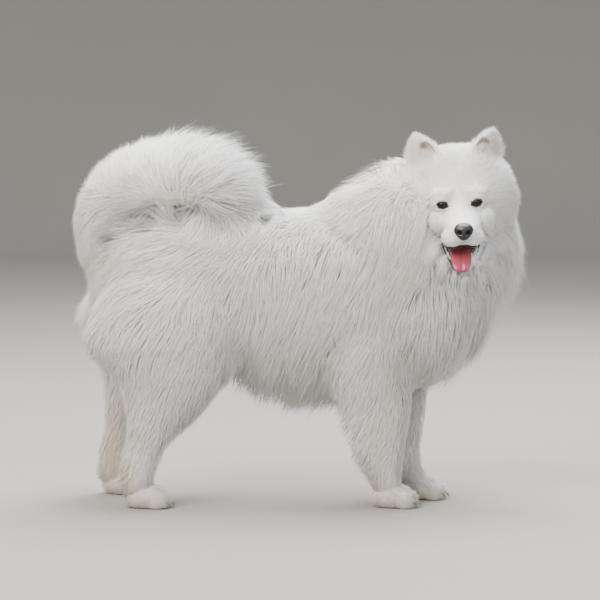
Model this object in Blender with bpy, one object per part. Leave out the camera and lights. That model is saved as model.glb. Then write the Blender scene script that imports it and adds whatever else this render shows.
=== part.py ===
"""A samoyed standing side-on with its head turned to its right, as a still model at life size.

Axes: +X to the front of the body, +Y to its left, +Z up, in metres. The origin lies on the floor under
the middle of the model's box. Tables hold millimetres. Each row of a limb is a station: its centre, the
skin's half sizes to the side, up and down, and the depth of the coat in each of these directions and
along the limb. The solids hold a core that reaches part of the way through the coat, and locks that are
rooted in the core, lie along the fur and reach to the tips of the coat.
"""

import math
import random

import bmesh
import bpy
import numpy as np
from mathutils import Matrix, Vector
from mathutils.bvhtree import BVHTree

MM = 0.001
GAP = 0.3  # what touching solids keep between them, in millimetres
LOCK_GAP = 0.8  # what a lock keeps from the next node
CORE_SHARE = 0.5  # how far through the coat the core reaches
SHORT_SHARE = 0.8  # the same, where the fur is too short for locks
CENTRE_SHIFT = Vector((0.009, 0.0215, 0.0))  # puts the middle of the box over the origin

# Where the head is, and how it is turned from facing square to the dog's right
HEAD_PLACE = Vector((0.311, -0.100, 0.600))  # the point midway between the eyes
HEAD_YAW = math.radians(1.0)
HEAD_PITCH = math.radians(6.5)
HEAD_ROLL = math.radians(-3.8)

# x, y, z | skin: side, up, down | coat: side, up, down, along
TORSO_ROWS = [
    (-345, 0, 470, 30, 35, 40, 30, 15, 40, -38),
    (-322, 0, 465, 70, 64, 80, 35, 18, 50, -28),
    (-250, 0, 458, 92, 88, 98, 40, 32, 55, 0),
    (-130, 0, 458, 90, 92, 108, 42, 36, 90, 0),
    (-10, 0, 450, 98, 104, 130, 44, 35, 105, 0),
    (110, 0, 438, 104, 120, 142, 46, 36, 85, 0),
    (205, 0, 424, 96, 108, 126, 50, 36, 78, 10),
    (276, 0, 408, 78, 66, 94, 53, 20, 74, 38),
    (318, 0, 396, 36, 36, 50, 43, 18, 46, 82),
]
NECK_ROWS = [
    (110, 0, 400, 60, 70, 50, 20, 35, 20, 0),
    (185, 0, 465, 90, 98, 90, 58, 92, 110, 0),
    (236, 2, 520, 80, 88, 84, 55, 102, 134, 0),
    (276, 8, 572, 72, 78, 74, 44, 104, 132, 0),
    (304, 12, 612, 60, 66, 60, 36, 80, 96, 0),
    (318, 14, 640, 30, 36, 30, 30, 50, 40, 10),
]
TAIL_ROWS = [
    (-318, 0, 470, 22, 24, 20, 20, 26, 10, 0),
    (-362, 0, 508, 22, 24, 20, 44, 58, 15, 0),
    (-382, -4, 550, 21, 21, 19, 62, 52, 26, 0),
    (-374, -10, 592, 19, 19, 17, 74, 58, 40, 0),
    (-336, -18, 624, 18, 18, 16, 82, 70, 58, 0),
    (-278, -26, 636, 16, 16, 14, 84, 74, 66, 0),
    (-218, -34, 626, 14, 14, 12, 78, 82, 60, 0),
    (-168, -40, 604, 12, 12, 10, 66, 80, 44, 22),
    (-140, -42, 588, 7, 7, 6, 46, 56, 30, 42),
]
# The legs are given for the right side. Up is the front of a leg here, and down its back
FORELEG_ROWS = [
    (120, 58, 380, 36, 46, 46, 4, 4, 4, 0),
    (135, 72, 320, 44, 60, 60, 25, 14, 20, 0),
    (152, 78, 255, 36, 44, 48, 22, 18, 46, 0),
    (165, 80, 200, 30, 34, 34, 16, 24, 56, 0),
    (170, 81, 140, 25, 27, 27, 13, 17, 64, 0),
    (171, 82, 100, 22, 23, 23, 12, 13, 56, 0),
    (172, 83, 60, 21, 21, 21, 9, 8, 22, 0),
    (176, 84, 26, 20, 22, 20, 5, 4, 7, 0),
]
HINDLEG_ROWS = [
    (-262, 50, 470, 28, 56, 50, 4, 6, 6, 0),
    (-262, 66, 420, 50, 95, 82, 28, 18, 56, 0),
    (-255, 78, 350, 50, 102, 92, 34, 34, 86, 0),
    (-252, 84, 290, 44, 84, 82, 30, 48, 86, 0),
    (-262, 88, 235, 36, 56, 58, 22, 40, 60, 0),
    (-285, 90, 180, 26, 34, 34, 14, 32, 30, 0),
    (-303, 90, 130, 21, 25, 27, 11, 20, 14, 0),
    (-316, 90, 85, 19, 21, 21, 11, 19, 20, 0),
    (-321, 90, 45, 19, 20, 20, 10, 14, 20, 0),
    (-318, 90, 24, 18, 20, 18, 5, 7, 9, 0),
]
FORE_TRACK, HIND_TRACK = 84.0, 90.0  # how far the right feet stand from the middle
FAR_FORE_STEP = 38.0  # the left foreleg stands this far forward of the right one
FAR_FORE_PAW_STEP = 62.0
FAR_FORE_TRACK = 24.0  # the left forefoot is set under the chest
FAR_HIND_STEP = -58.0  # the left hind foot stands this far behind the right one
HIP_HEIGHT = 470.0
HOCK_HEIGHT = 165.0  # where the solids part the hind leg

# In the head's own axes: x to its left, y to its back, z up, from the point between the eyes
HEAD_ROWS = [
    (0, 118, 5, 24, 34, 28, 40, 32, 10, -40),
    (0, 100, 3, 56, 62, 55, 52, 36, 15, -20),
    (0, 65, 0, 72, 78, 68, 54, 34, 20, 0),
    (0, 30, -4, 70, 74, 72, 54, 28, 20, 0),
    (0, 2, -12, 58, 50, 60, 22, 10, 12, 0),
    (0, -20, -26, 38, 26, 38, 5, 3, 2, 0),
    (0, -50, -37, 31, 21, 30, 5, 3, 2, 0),
    (0, -80, -44, 26, 21, 24, 3, 2, 2, 0),
    (0, -93, -46, 19, 15, 18, 2, 1, 1, 0),
    (0, -98, -48, 8, 6, 8, 0, 0, 0, 0),
]
JAW_ROWS = [
    (0, 12, -60, 38, 6, 24, 4, 0, 14, 0),
    (0, -12, -76, 34, 6, 20, 4, 0, 12, 0),
    (0, -38, -93, 26, 6, 16, 3, 0, 8, 0),
    (0, -56, -105, 19, 6, 12, 2, 0, 5, 0),
    (0, -65, -111, 9, 4, 7, 1, 0, 3, 0),
]
TONGUE_ROWS = [
    (0, 5, -60, 16, 5, 4, 0, 0, 0, 0),
    (0, -25, -76, 18, 5, 4, 0, 0, 0, 0),
    (0, -50, -93, 18.5, 5, 4, 0, 0, 0, 0),
    (0, -66, -104, 18, 5, 4, 0, 0, 0, 0),
    (0, -76, -113, 16, 4.5, 4, 0, 0, 0, 0),
    (0, -79, -121, 11, 3.5, 3, 0, 0, 0, 0),
    (0, -79, -125, 4, 1.5, 1.5, 0, 0, 0, 0),
]
NOSE_ROWS = [
    (0, -86, -38, 14, 12, 13, 0, 0, 0, 0),
    (0, -95, -38, 19, 16, 18, 0, 0, 0, 0),
    (0, -103, -39, 18, 14, 17, 0, 0, 0, 0),
    (0, -108, -40, 9, 7, 9, 0, 0, 0, 0),
]
EAR_ROWS = [
    (46, 62, 48, 30, 13, 13, 4, 4, 4, 0),
    (52, 60, 76, 29, 12, 11, 4, 4, 3, 0),
    (60, 57, 102, 22, 9, 8, 4, 3, 2, 0),
    (66, 54, 121, 13, 5, 5, 3, 2, 2, 0),
    (69, 52, 131, 4, 2.5, 2.5, 2, 1, 1, 0),
]
# Of a canine tooth of the lower jaw, given for the left side
CANINE_ROWS = [
    (15, -50, -104, 3.2, 3.2, 3.2, 0, 0, 0, 0),
    (15.5, -53, -95, 2.6, 2.6, 2.6, 0, 0, 0, 0),
    (15, -57, -88, 0.7, 0.7, 0.7, 0, 0, 0, 0),
]
EAR_WIDTH_WAY = (0.85, 0.5, 0.0)  # from the inner edge of the left ear to its outer edge
EYE_PLACE = Vector((33.0, -13.0, 0.0))
EYE_RADIUS = 11.5
LID_BULGE = 3.0  # how far the lids stand out round the eyeball
EYE_SLIT = (12.5, 16.0, 7.0)  # half sizes of the opening between the lids
EYE_SLANT = math.radians(12.0)  # the outer corners are the higher ones

TOE_LANES = (-1.5, -0.5, 0.5, 1.5)
PAW_LENGTH, PAW_WIDTH, PAW_HEIGHT = 92.0, 64.0, 50.0
FORE_PAW_X, HIND_PAW_X = 184.0, -302.0
# Along, up | skin: side, up, down, from a claw's root in the toe to its tip
CLAW_ROWS = [(-5, 13, 2.2, 3.2, 2.6), (4, 13.5, 2.3, 3.0, 2.6), (10, 10, 1.6, 2.2, 2.0), (14, 5, 0.6, 0.8, 0.8)]

# Along a lock: part of the way to its tip, share of its half width and of its thickness
LOCK_PROFILE = ((0.0, 0.7, 0.9), (0.4, 1.0, 1.0), (0.76, 0.66, 0.6))
LOCK_ROOT_SHARE = 0.3  # how deep in the coat a lock starts
# A lock that meets another node is bent further clear of it, then made shorter, and then left out:
# share of the length, and how far its middle line keeps from other nodes
LOCK_TRIES = ((1.0, 6.0), (1.0, 13.0), (0.75, 10.0), (0.55, 8.0))
LOCK_DARTS = 1500  # random places tried for a node's locks

WHITE = (0.83, 0.82, 0.78)
PAW_WHITE = (0.74, 0.70, 0.62)
BLACK = (0.012, 0.012, 0.014)
PINK = (0.66, 0.16, 0.22)
EYE_BROWN = (0.03, 0.018, 0.012)
CLAW_GREY = (0.32, 0.27, 0.22)


def clear_scene():
    for old in list(bpy.data.objects):
        bpy.data.objects.remove(old)


def material(name, colour, roughness):
    made = bpy.data.materials.new(name)
    made.use_nodes = True
    shader = made.node_tree.nodes["Principled BSDF"]
    shader.inputs["Base Color"].default_value = (*colour, 1.0)
    shader.inputs["Roughness"].default_value = roughness
    made.diffuse_color = (*colour, 1.0)
    return made


def head_matrix():
    """Carries the head's own axes to the model's."""
    turn = (
        Matrix.Rotation(HEAD_YAW, 4, "Z")
        @ Matrix.Rotation(HEAD_PITCH, 4, "X")
        @ Matrix.Rotation(HEAD_ROLL, 4, "Y")
    )
    return Matrix.Translation(HEAD_PLACE) @ turn


def smooth_rows(rows, at):
    """The table's numbers at each place along it, on a Catmull-Rom curve through the rows."""
    rows = np.array(rows, float)
    ends = np.vstack([2 * rows[0] - rows[1], rows, 2 * rows[-1] - rows[-2]])
    first = np.clip(at.astype(int), 0, len(rows) - 2)
    t = (at - first)[..., None]
    a, b, c, d = (ends[first + k] for k in range(4))
    curve = 2 * b + (c - a) * t + (2 * a - 5 * b + 4 * c - d) * t**2 + (3 * b - a - 3 * c + d) * t**3
    return curve / 2


def unit(vectors):
    return vectors / np.maximum(np.linalg.norm(vectors, axis=-1, keepdims=True), 1e-9)


def face_outwards(obj):
    bm = bmesh.new()
    bm.from_mesh(obj.data)
    bmesh.ops.recalc_face_normals(bm, faces=bm.faces)
    if bm.calc_volume(signed=True) < 0:
        bmesh.ops.reverse_faces(bm, faces=bm.faces)
    bm.to_mesh(obj.data)
    bm.free()


def closed_tube(name, rings, ends, place):
    """A closed mesh through rings of points, with a point at each end. Millimetres in, metres out."""
    count, sides = rings.shape[:2]
    points = np.vstack([rings.reshape(-1, 3), ends]) * MM
    near, far = count * sides, count * sides + 1
    faces = []
    for k in range(sides):
        after = (k + 1) % sides
        faces.append((near, after, k))
        faces.append((far, (count - 1) * sides + k, (count - 1) * sides + after))
        for ring in range(count - 1):
            low, high = ring * sides, (ring + 1) * sides
            faces.append((low + k, low + after, high + after))
            faces.append((low + k, high + after, high + k))
    mesh = bpy.data.meshes.new(name)
    mesh.from_pydata([tuple(p) for p in points], [], faces)
    made = bpy.data.objects.new(name, mesh)
    bpy.context.scene.collection.objects.link(made)
    mesh.transform(place)
    face_outwards(made)
    return made


class Limb:
    """A shape lofted along a path, with a skin and a coat over it.

    A point on it is named by its place along the rows, its angle round the path (0 to the side, a
    quarter turn up) and its share of the way from the skin to the tips of the coat.
    """

    def __init__(self, rows, rings, sides, side_way=(0, 1, 0), fullness=2.2, axis=None, place=None):
        self.rows, self.rings, self.sides = rows, rings, sides
        self.side_way, self.fullness, self.axis = np.array(side_way, float), fullness, axis
        self.place = Matrix.Identity(4) if place is None else place

    def frame(self, at):
        """Table, direction of the path, side and up at each place along the rows."""
        last = len(self.rows) - 1
        before, after = np.clip(at - 0.1, 0, last), np.clip(at + 0.1, 0, last)
        table = smooth_rows(self.rows, at)
        along = unit((smooth_rows(self.rows, after) - smooth_rows(self.rows, before))[..., :3])
        if self.axis is not None:
            along = np.broadcast_to(np.array(self.axis, float), along.shape)
        up = unit(np.cross(along, self.side_way))
        return table, along, unit(np.cross(up, along)), up

    def points(self, at, angle, share, grow=0.0):
        table, along, side, up = self.frame(at)
        share = np.broadcast_to(share, at.shape)[..., None]
        sizes = np.maximum(table[..., 3:6] + share * table[..., 6:9], 0.8) + grow
        power = 2 / self.fullness
        across = np.sign(np.cos(angle)) * np.abs(np.cos(angle)) ** power
        rise = np.sign(np.sin(angle)) * np.abs(np.sin(angle)) ** power
        tall = np.where(np.sin(angle) >= 0, sizes[..., 1], sizes[..., 2])
        centre = table[..., :3] + along * table[..., 9:10] * share
        return centre + side * (sizes[..., 0] * across)[..., None] + up * (tall * rise)[..., None]

    def solid(self, name, share=0.0, grow=0.0):
        at = np.linspace(0, len(self.rows) - 1, self.rings)
        angle = np.linspace(0, 2 * math.pi, self.sides, endpoint=False)
        rings = self.points(*np.meshgrid(at, angle, indexing="ij"), share, grow)
        table, along, side, up = self.frame(at[[0, -1]])
        ends = table[:, :3] + along * (table[:, 9:10] * share + np.array([[-grow], [grow]]))
        return closed_tube(name, rings, ends, self.place)

    def lock_lines(self, at, angle, flow, length, tip_share):
        """Paths of locks that start inside the coat at the given places and follow the flow outwards.

        flow gives a direction from (points, path direction, outward direction); the step along it is
        laid on the surface, while the share of the coat rises evenly to the tip. Returns points and
        outward directions, indexed by lock and by place along the lock.
        """
        steps = 9
        at, angle = at.copy(), angle.copy()
        share = np.full(at.shape, LOCK_ROOT_SHARE)
        rise = (tip_share - LOCK_ROOT_SHARE) / (steps - 1)
        line, outward = [], []
        for step in range(steps):
            here = self.points(at, angle, share)
            by_at = (self.points(np.clip(at + 0.02, 0, len(self.rows) - 1), angle, share) - here) / 0.02
            by_angle = (self.points(at, angle + 0.02, share) - here) / 0.02
            normal = unit(np.cross(by_at, by_angle))
            outer = self.points(at, angle, share + 0.05) - here
            normal = normal * np.sign((normal * outer).sum(-1, keepdims=True) + 1e-9)
            along = self.frame(at)[1]
            line.append(here)
            outward.append(normal)
            way = unit(flow(here, along, normal)) * (length / (steps - 1))[..., None]
            a, b, c = (by_at**2).sum(-1) + 1, (by_at * by_angle).sum(-1), (by_angle**2).sum(-1) + 1
            p, q = (way * by_at).sum(-1), (way * by_angle).sum(-1)
            room = a * c - b * b
            at = np.clip(at + (p * c - q * b) / room, 0.02, len(self.rows) - 1.02)
            angle = angle + (q * a - p * b) / room
            share = share + rise
        return np.stack(line, 1), np.stack(outward, 1)


def ball(name, centre, radii, turn=None, columns=12, rows=8):
    """An ellipsoid from a UV sphere, in millimetres."""
    bm = bmesh.new()
    bmesh.ops.create_uvsphere(bm, u_segments=columns, v_segments=rows, radius=1.0)
    mesh = bpy.data.meshes.new(name)
    bm.to_mesh(mesh)
    bm.free()
    made = bpy.data.objects.new(name, mesh)
    bpy.context.scene.collection.objects.link(made)
    sizes = Matrix.Diagonal((*(Vector(radii) * MM), 1.0))
    turned = turn if turn is not None else Matrix.Identity(4)
    mesh.transform(Matrix.Translation(Vector(centre) * MM) @ turned @ sizes)
    return made


def apply_modifiers(obj):
    graph = bpy.context.evaluated_depsgraph_get()
    mesh = bpy.data.meshes.new_from_object(obj.evaluated_get(graph))
    obj.modifiers.clear()
    obj.data = mesh
    return obj


def keep_largest(obj):
    """Leaves the closed surface with the most area, and drops scraps and sealed hollows."""
    bm = bmesh.new()
    bm.from_mesh(obj.data)
    bmesh.ops.triangulate(bm, faces=bm.faces)
    left, shells = set(bm.faces), []
    while left:
        shell, edge = set(), [left.pop()]
        while edge:
            face = edge.pop()
            shell.add(face)
            near = {other for e in face.edges for other in e.link_faces} & left
            left -= near
            edge.extend(near)
        shells.append(shell)
    most = max(shells, key=lambda shell: sum(face.calc_area() for face in shell))
    dropped = [face for shell in shells if shell is not most for face in shell]
    if dropped:
        bmesh.ops.delete(bm, geom=dropped, context="FACES")
    bm.to_mesh(obj.data)
    bm.free()
    return obj


def subtract(obj, *cutters):
    """Cuts each closed cutter out of the object, and removes the cutter."""
    for cutter in cutters:
        cut = obj.modifiers.new("cut", "BOOLEAN")
        cut.operation = "DIFFERENCE"
        cut.solver = "MANIFOLD"
        cut.object = cutter
        apply_modifiers(obj)
        bpy.data.objects.remove(cutter)
    return keep_largest(obj)


def fuse(obj, pieces):
    """Joins closed pieces to the object by one union, and removes them."""
    if not pieces:
        return obj
    group = bpy.data.collections.new("pieces of " + obj.name)
    bpy.context.scene.collection.children.link(group)
    for piece in pieces:
        bpy.context.scene.collection.objects.unlink(piece)
        group.objects.link(piece)
    join = obj.modifiers.new("join", "BOOLEAN")
    join.operation = "UNION"
    join.solver = "MANIFOLD"
    join.operand_type = "COLLECTION"
    join.collection = group
    apply_modifiers(obj)
    for piece in list(group.objects):
        bpy.data.objects.remove(piece)
    bpy.data.collections.remove(group)
    return keep_largest(obj)


def tree_of(obj):
    obj.data.calc_loop_triangles()
    corners = [tuple(v.co) for v in obj.data.vertices]
    return BVHTree.FromPolygons(corners, [tuple(t.vertices) for t in obj.data.loop_triangles])


def inside(tree, spot):
    """Whether a point lies within a closed surface: a ray from it leaves through an odd count of faces."""
    way, hits = Vector((0.31, 0.17, 0.94)).normalized(), 0
    hit = tree.ray_cast(spot, way)
    while hit[0] is not None:
        hits += 1
        hit = tree.ray_cast(hit[0] + way * 1e-5, way)
    return hits % 2 == 1


def bend_clear(line, outward, trees, margin):
    """Lifts the free part of a lock's line, so that it passes over other nodes and not through them."""
    for k in range(2, len(line)):
        reach = margin * min(1.0, (k - 1) / 3)
        for tree in trees:
            here = Vector(line[k] * MM)
            spot, normal, _, far = tree.find_nearest(here, 0.15)
            if spot is not None and (far < reach * MM or (here - spot).dot(normal) < 0 and inside(tree, here)):
                line[k] = np.array(spot + normal * reach * MM) / MM
                outward[k] = unit(outward[k] + np.array(normal))
    line[2:-1] = (line[1:-2] + 2 * line[2:-1] + line[3:]) / 4
    steps = np.linalg.norm(np.diff(line, axis=0), axis=1)
    return None if steps.min() < 0.5 else (line, outward)


def lock_solid(line, outward, half_width, thickness, grow=0.0):
    """A lock along a line of points: flat beneath, with a ridge on top, and drawn to a tip."""
    count = len(line) - 1
    along = unit(np.gradient(line, axis=0))
    across = unit(np.cross(outward, along))
    rings = []
    for part, wide, thick in LOCK_PROFILE:
        at = int(round(part * count))
        side = across[at] * (half_width * wide + grow)
        over = np.cross(along[at], across[at])
        over = unit(over) * np.sign(np.dot(outward[at], over))
        low, high = over * grow, over * (thickness * thick + grow)
        rings.append([line[at] + side - low, line[at] + high, line[at] - side - low])
    tip = line[-1] + along[-1] * grow
    return closed_tube("lock", np.array(rings), np.array([line[0], tip]), Matrix.Identity(4))


def lock_roots(limb, trees, seed, region, spacing):
    """Random places for locks, spread evenly over the part of a limb that other nodes leave free."""
    chance = random.Random(seed)
    first, last, low, high = region
    turn, origin = np.array(limb.place.to_3x3()), np.array(limb.place.translation) / MM
    darts = np.array([(chance.uniform(first, last), chance.uniform(low, high)) for _ in range(LOCK_DARTS)])
    darts[:, 0] = np.clip(darts[:, 0], 0.02, len(limb.rows) - 1.02)
    spots = limb.points(darts[:, 0], darts[:, 1] * 2 * math.pi, CORE_SHARE) @ turn.T + origin
    kept = []
    for k, spot in enumerate(spots):
        if any(np.linalg.norm(spot - spots[other]) < spacing for other in kept):
            continue
        here = Vector(spot * MM)
        if not any(tree.find_nearest(here)[3] < 4 * MM or inside(tree, here) for tree in trees):
            kept.append(k)
    vary = [(chance.uniform(0.85, 1.15), chance.uniform(0.9, 1.15), chance.uniform(0.94, 1.06)) for _ in kept]
    return darts[kept, 0], darts[kept, 1] * 2 * math.pi, np.array(vary)


def add_locks(obj, limb, others, seed, region, spacing, flow, sizes, tip_share=1.0):
    """Covers a core with locks and fuses them to it.

    region is the first and last place along the limb, and the first and last angle in turns; spacing
    is the least distance between two roots; sizes is the length, width and thickness of a lock. A lock
    that would meet another node is bent clear, then made shorter, and left out if it still does.
    """
    trees = [tree_of(other) for other in others]
    at, angle, vary = lock_roots(limb, trees, seed, region, spacing)
    if not len(at):
        return obj
    turn, origin = np.array(limb.place.to_3x3()), np.array(limb.place.translation) / MM
    made, done = [], np.zeros(len(at), bool)
    for share, margin in LOCK_TRIES:
        tips = LOCK_ROOT_SHARE + (tip_share * vary[:, 2] - LOCK_ROOT_SHARE) * (0.6 + 0.4 * share)
        lines, outwards = limb.lock_lines(at, angle, flow, sizes[0] * vary[:, 0] * share, tips)
        lines, outwards = lines @ turn.T + origin, outwards @ turn.T
        for k in np.flatnonzero(~done):
            bent = bend_clear(lines[k].copy(), outwards[k].copy(), trees, margin)
            if bent is None:
                continue
            size = (sizes[1] / 2 * vary[k, 1], sizes[2])
            test = lock_solid(*bent, *size, LOCK_GAP)
            test_tree = tree_of(test)
            bpy.data.objects.remove(test)
            if not any(test_tree.overlap(tree) for tree in trees):
                made.append(lock_solid(*bent, *size))
                done[k] = True
    return fuse(obj, made)


def box(low, high):
    """A box between two corners, in millimetres."""
    bpy.ops.mesh.primitive_cube_add(size=1.0)
    made = bpy.context.object
    low, high = Vector(low) * MM, Vector(high) * MM
    made.data.transform(Matrix.Translation((low + high) / 2) @ Matrix.Diagonal((*(high - low), 1.0)))
    return made


def floor_cutter():
    """A slab whose top is the floor, so that what it cuts gets flats at one level."""
    return box((-800, -400, -100), (800, 400, 0))


def right_limb(rows):
    return [(row[0], -row[1], *row[2:]) for row in rows]


def left_foreleg(rows):
    """The right foreleg's rows on the left side: ahead of it, and drawn in under the chest."""
    moved = []
    for x, y, z, *sizes in rows:
        low = min(1.0, max(0.0, (330.0 - z) / 300.0))
        foot = min(1.0, max(0.0, (90.0 - z) / 65.0))
        step = FAR_FORE_STEP + (FAR_FORE_PAW_STEP - FAR_FORE_STEP) * foot
        moved.append((x + step, y + (FAR_FORE_TRACK - y) * low, z, *sizes))
    return moved


def left_hindleg(rows):
    """The right hind leg's rows on the left side, set back below the hip."""
    return [(x + FAR_HIND_STEP * min(1.0, (HIP_HEIGHT - z) / 270.0), y, z, *sizes) for x, y, z, *sizes in rows]


def toe_place(x, y, lane):
    return x + PAW_LENGTH * (0.31 - 0.045 * lane * lane), y + lane * PAW_WIDTH * 0.215


def build_paw(name, x, y, grow=0.0):
    """A paw: a low ball for the foot and four toes, flat on the floor."""
    radii = (PAW_LENGTH * 0.43 + grow, PAW_WIDTH * 0.46 + grow, PAW_HEIGHT * 0.56 + grow)
    paw = ball(name, (x - 4, y, PAW_HEIGHT * 0.42), radii, columns=12, rows=6)
    toes = []
    for lane in TOE_LANES:
        place = (*toe_place(x, y, lane), PAW_HEIGHT * 0.30)
        radii = (PAW_LENGTH * 0.17 + grow, PAW_WIDTH * 0.135 + grow, PAW_HEIGHT * 0.34 + grow)
        toes.append(ball("toe", place, radii, columns=8, rows=5))
    fuse(paw, toes)
    return subtract(paw, floor_cutter()) if grow == 0.0 else paw


def build_claw(name, x, y, lane):
    """A claw that leaves the front of its toe and bends down."""
    toe_x, toe_y = toe_place(x, y, lane)
    front = toe_x + PAW_LENGTH * 0.17 - 2.0
    rows = [(front + row[0], toe_y, row[1], *row[2:], 0, 0, 0, 0) for row in CLAW_ROWS]
    return subtract(Limb(rows, 4, 5).solid(name), build_paw("cutter", x, y, GAP))


def ear_limb(sign):
    rows = [(sign * row[0], *row[1:]) for row in EAR_ROWS]
    way = (EAR_WIDTH_WAY[0], sign * EAR_WIDTH_WAY[1], 0)
    return Limb(rows, 7, 10, way, 2.0, None, head_matrix())


def build_ear(name, sign):
    """An ear, thick at the edges, with a cup in its front."""
    ear = ear_limb(sign).solid(name, SHORT_SHARE)
    turn = Matrix.Rotation(sign * math.radians(20), 4, "Z") @ Matrix.Rotation(sign * math.radians(11), 4, "Y")
    cup = ball("cup", (sign * 54, 43, 88), (17, 15, 32), turn, 10, 7)
    cup.data.transform(head_matrix())
    return subtract(ear, cup)


def eye_ball(name, sign, radii, turn=None):
    made = ball(name, (sign * EYE_PLACE.x, EYE_PLACE.y, EYE_PLACE.z), radii, turn)
    made.data.transform(head_matrix())
    return made


def build_head(head_limb, torso_cutter):
    """The head's core, with lids round the sockets of the eyes."""
    head = head_limb.solid("head", CORE_SHARE)
    fuse(head, [eye_ball("lids", sign, (EYE_RADIUS + LID_BULGE,) * 3) for sign in (-1, 1)])
    for sign in (-1, 1):
        slant = Matrix.Rotation(sign * -EYE_SLANT, 4, "Y")
        slit = eye_ball("slit", sign, EYE_SLIT, slant)
        slit.data.transform(Matrix.Translation(head_matrix().to_3x3() @ Vector((0, -12.0, 0)) * MM))
        subtract(head, eye_ball("socket", sign, (EYE_RADIUS + GAP,) * 3), slit)
    return subtract(head, torso_cutter)


def build_nose(head_cutter, nose_limb):
    """The nose pad with its two nostrils."""
    nose = subtract(nose_limb.solid("nose"), head_cutter)
    nostrils = []
    for sign in (-1, 1):
        turn = Matrix.Rotation(sign * math.radians(35), 4, "Y")
        hole = ball("nostril", (sign * 8.5, -106, -40), (4.2, 6.0, 3.0), turn, 6, 5)
        hole.data.transform(head_matrix())
        nostrils.append(hole)
    return subtract(nose, *nostrils)


def back_and_down(back, down):
    def flow(points, along, outward):
        return np.broadcast_to(np.array([-back, 0.0, -down]), points.shape)
    return flow


def plume_flow(points, along, outward):
    """Tail hair runs toward the tail's tip, parts from its top line, and hangs where it is free."""
    return along + np.array([0.0, -0.12, -0.35])


def cheek_flow(points, along, outward):
    """Face hair runs back from the muzzle, out over the cheeks and down."""
    out = np.sign(points[..., :1]) * 0.45
    return np.concatenate([out, np.full_like(out, 0.6), np.full_like(out, -0.55)], axis=-1)


def crown_flow(points, along, outward):
    """Hair of the crown runs back, parting a little to the sides."""
    return np.concatenate([points[..., :1] * 0.006, np.ones_like(points[..., :1]), -0.1 + 0 * points[..., :1]], axis=-1)


def neck_flow(points, along, outward):
    """The mane runs back along the crest, and back and down over the sides of the neck and chest."""
    crest = np.clip(-outward[..., :1] * 0.9, 0.0, 1.0)
    down = np.full_like(crest, -1.0)
    return np.concatenate([-0.25 - 0.8 * crest, np.zeros_like(crest), down + 0.35 * crest], axis=-1)


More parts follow.
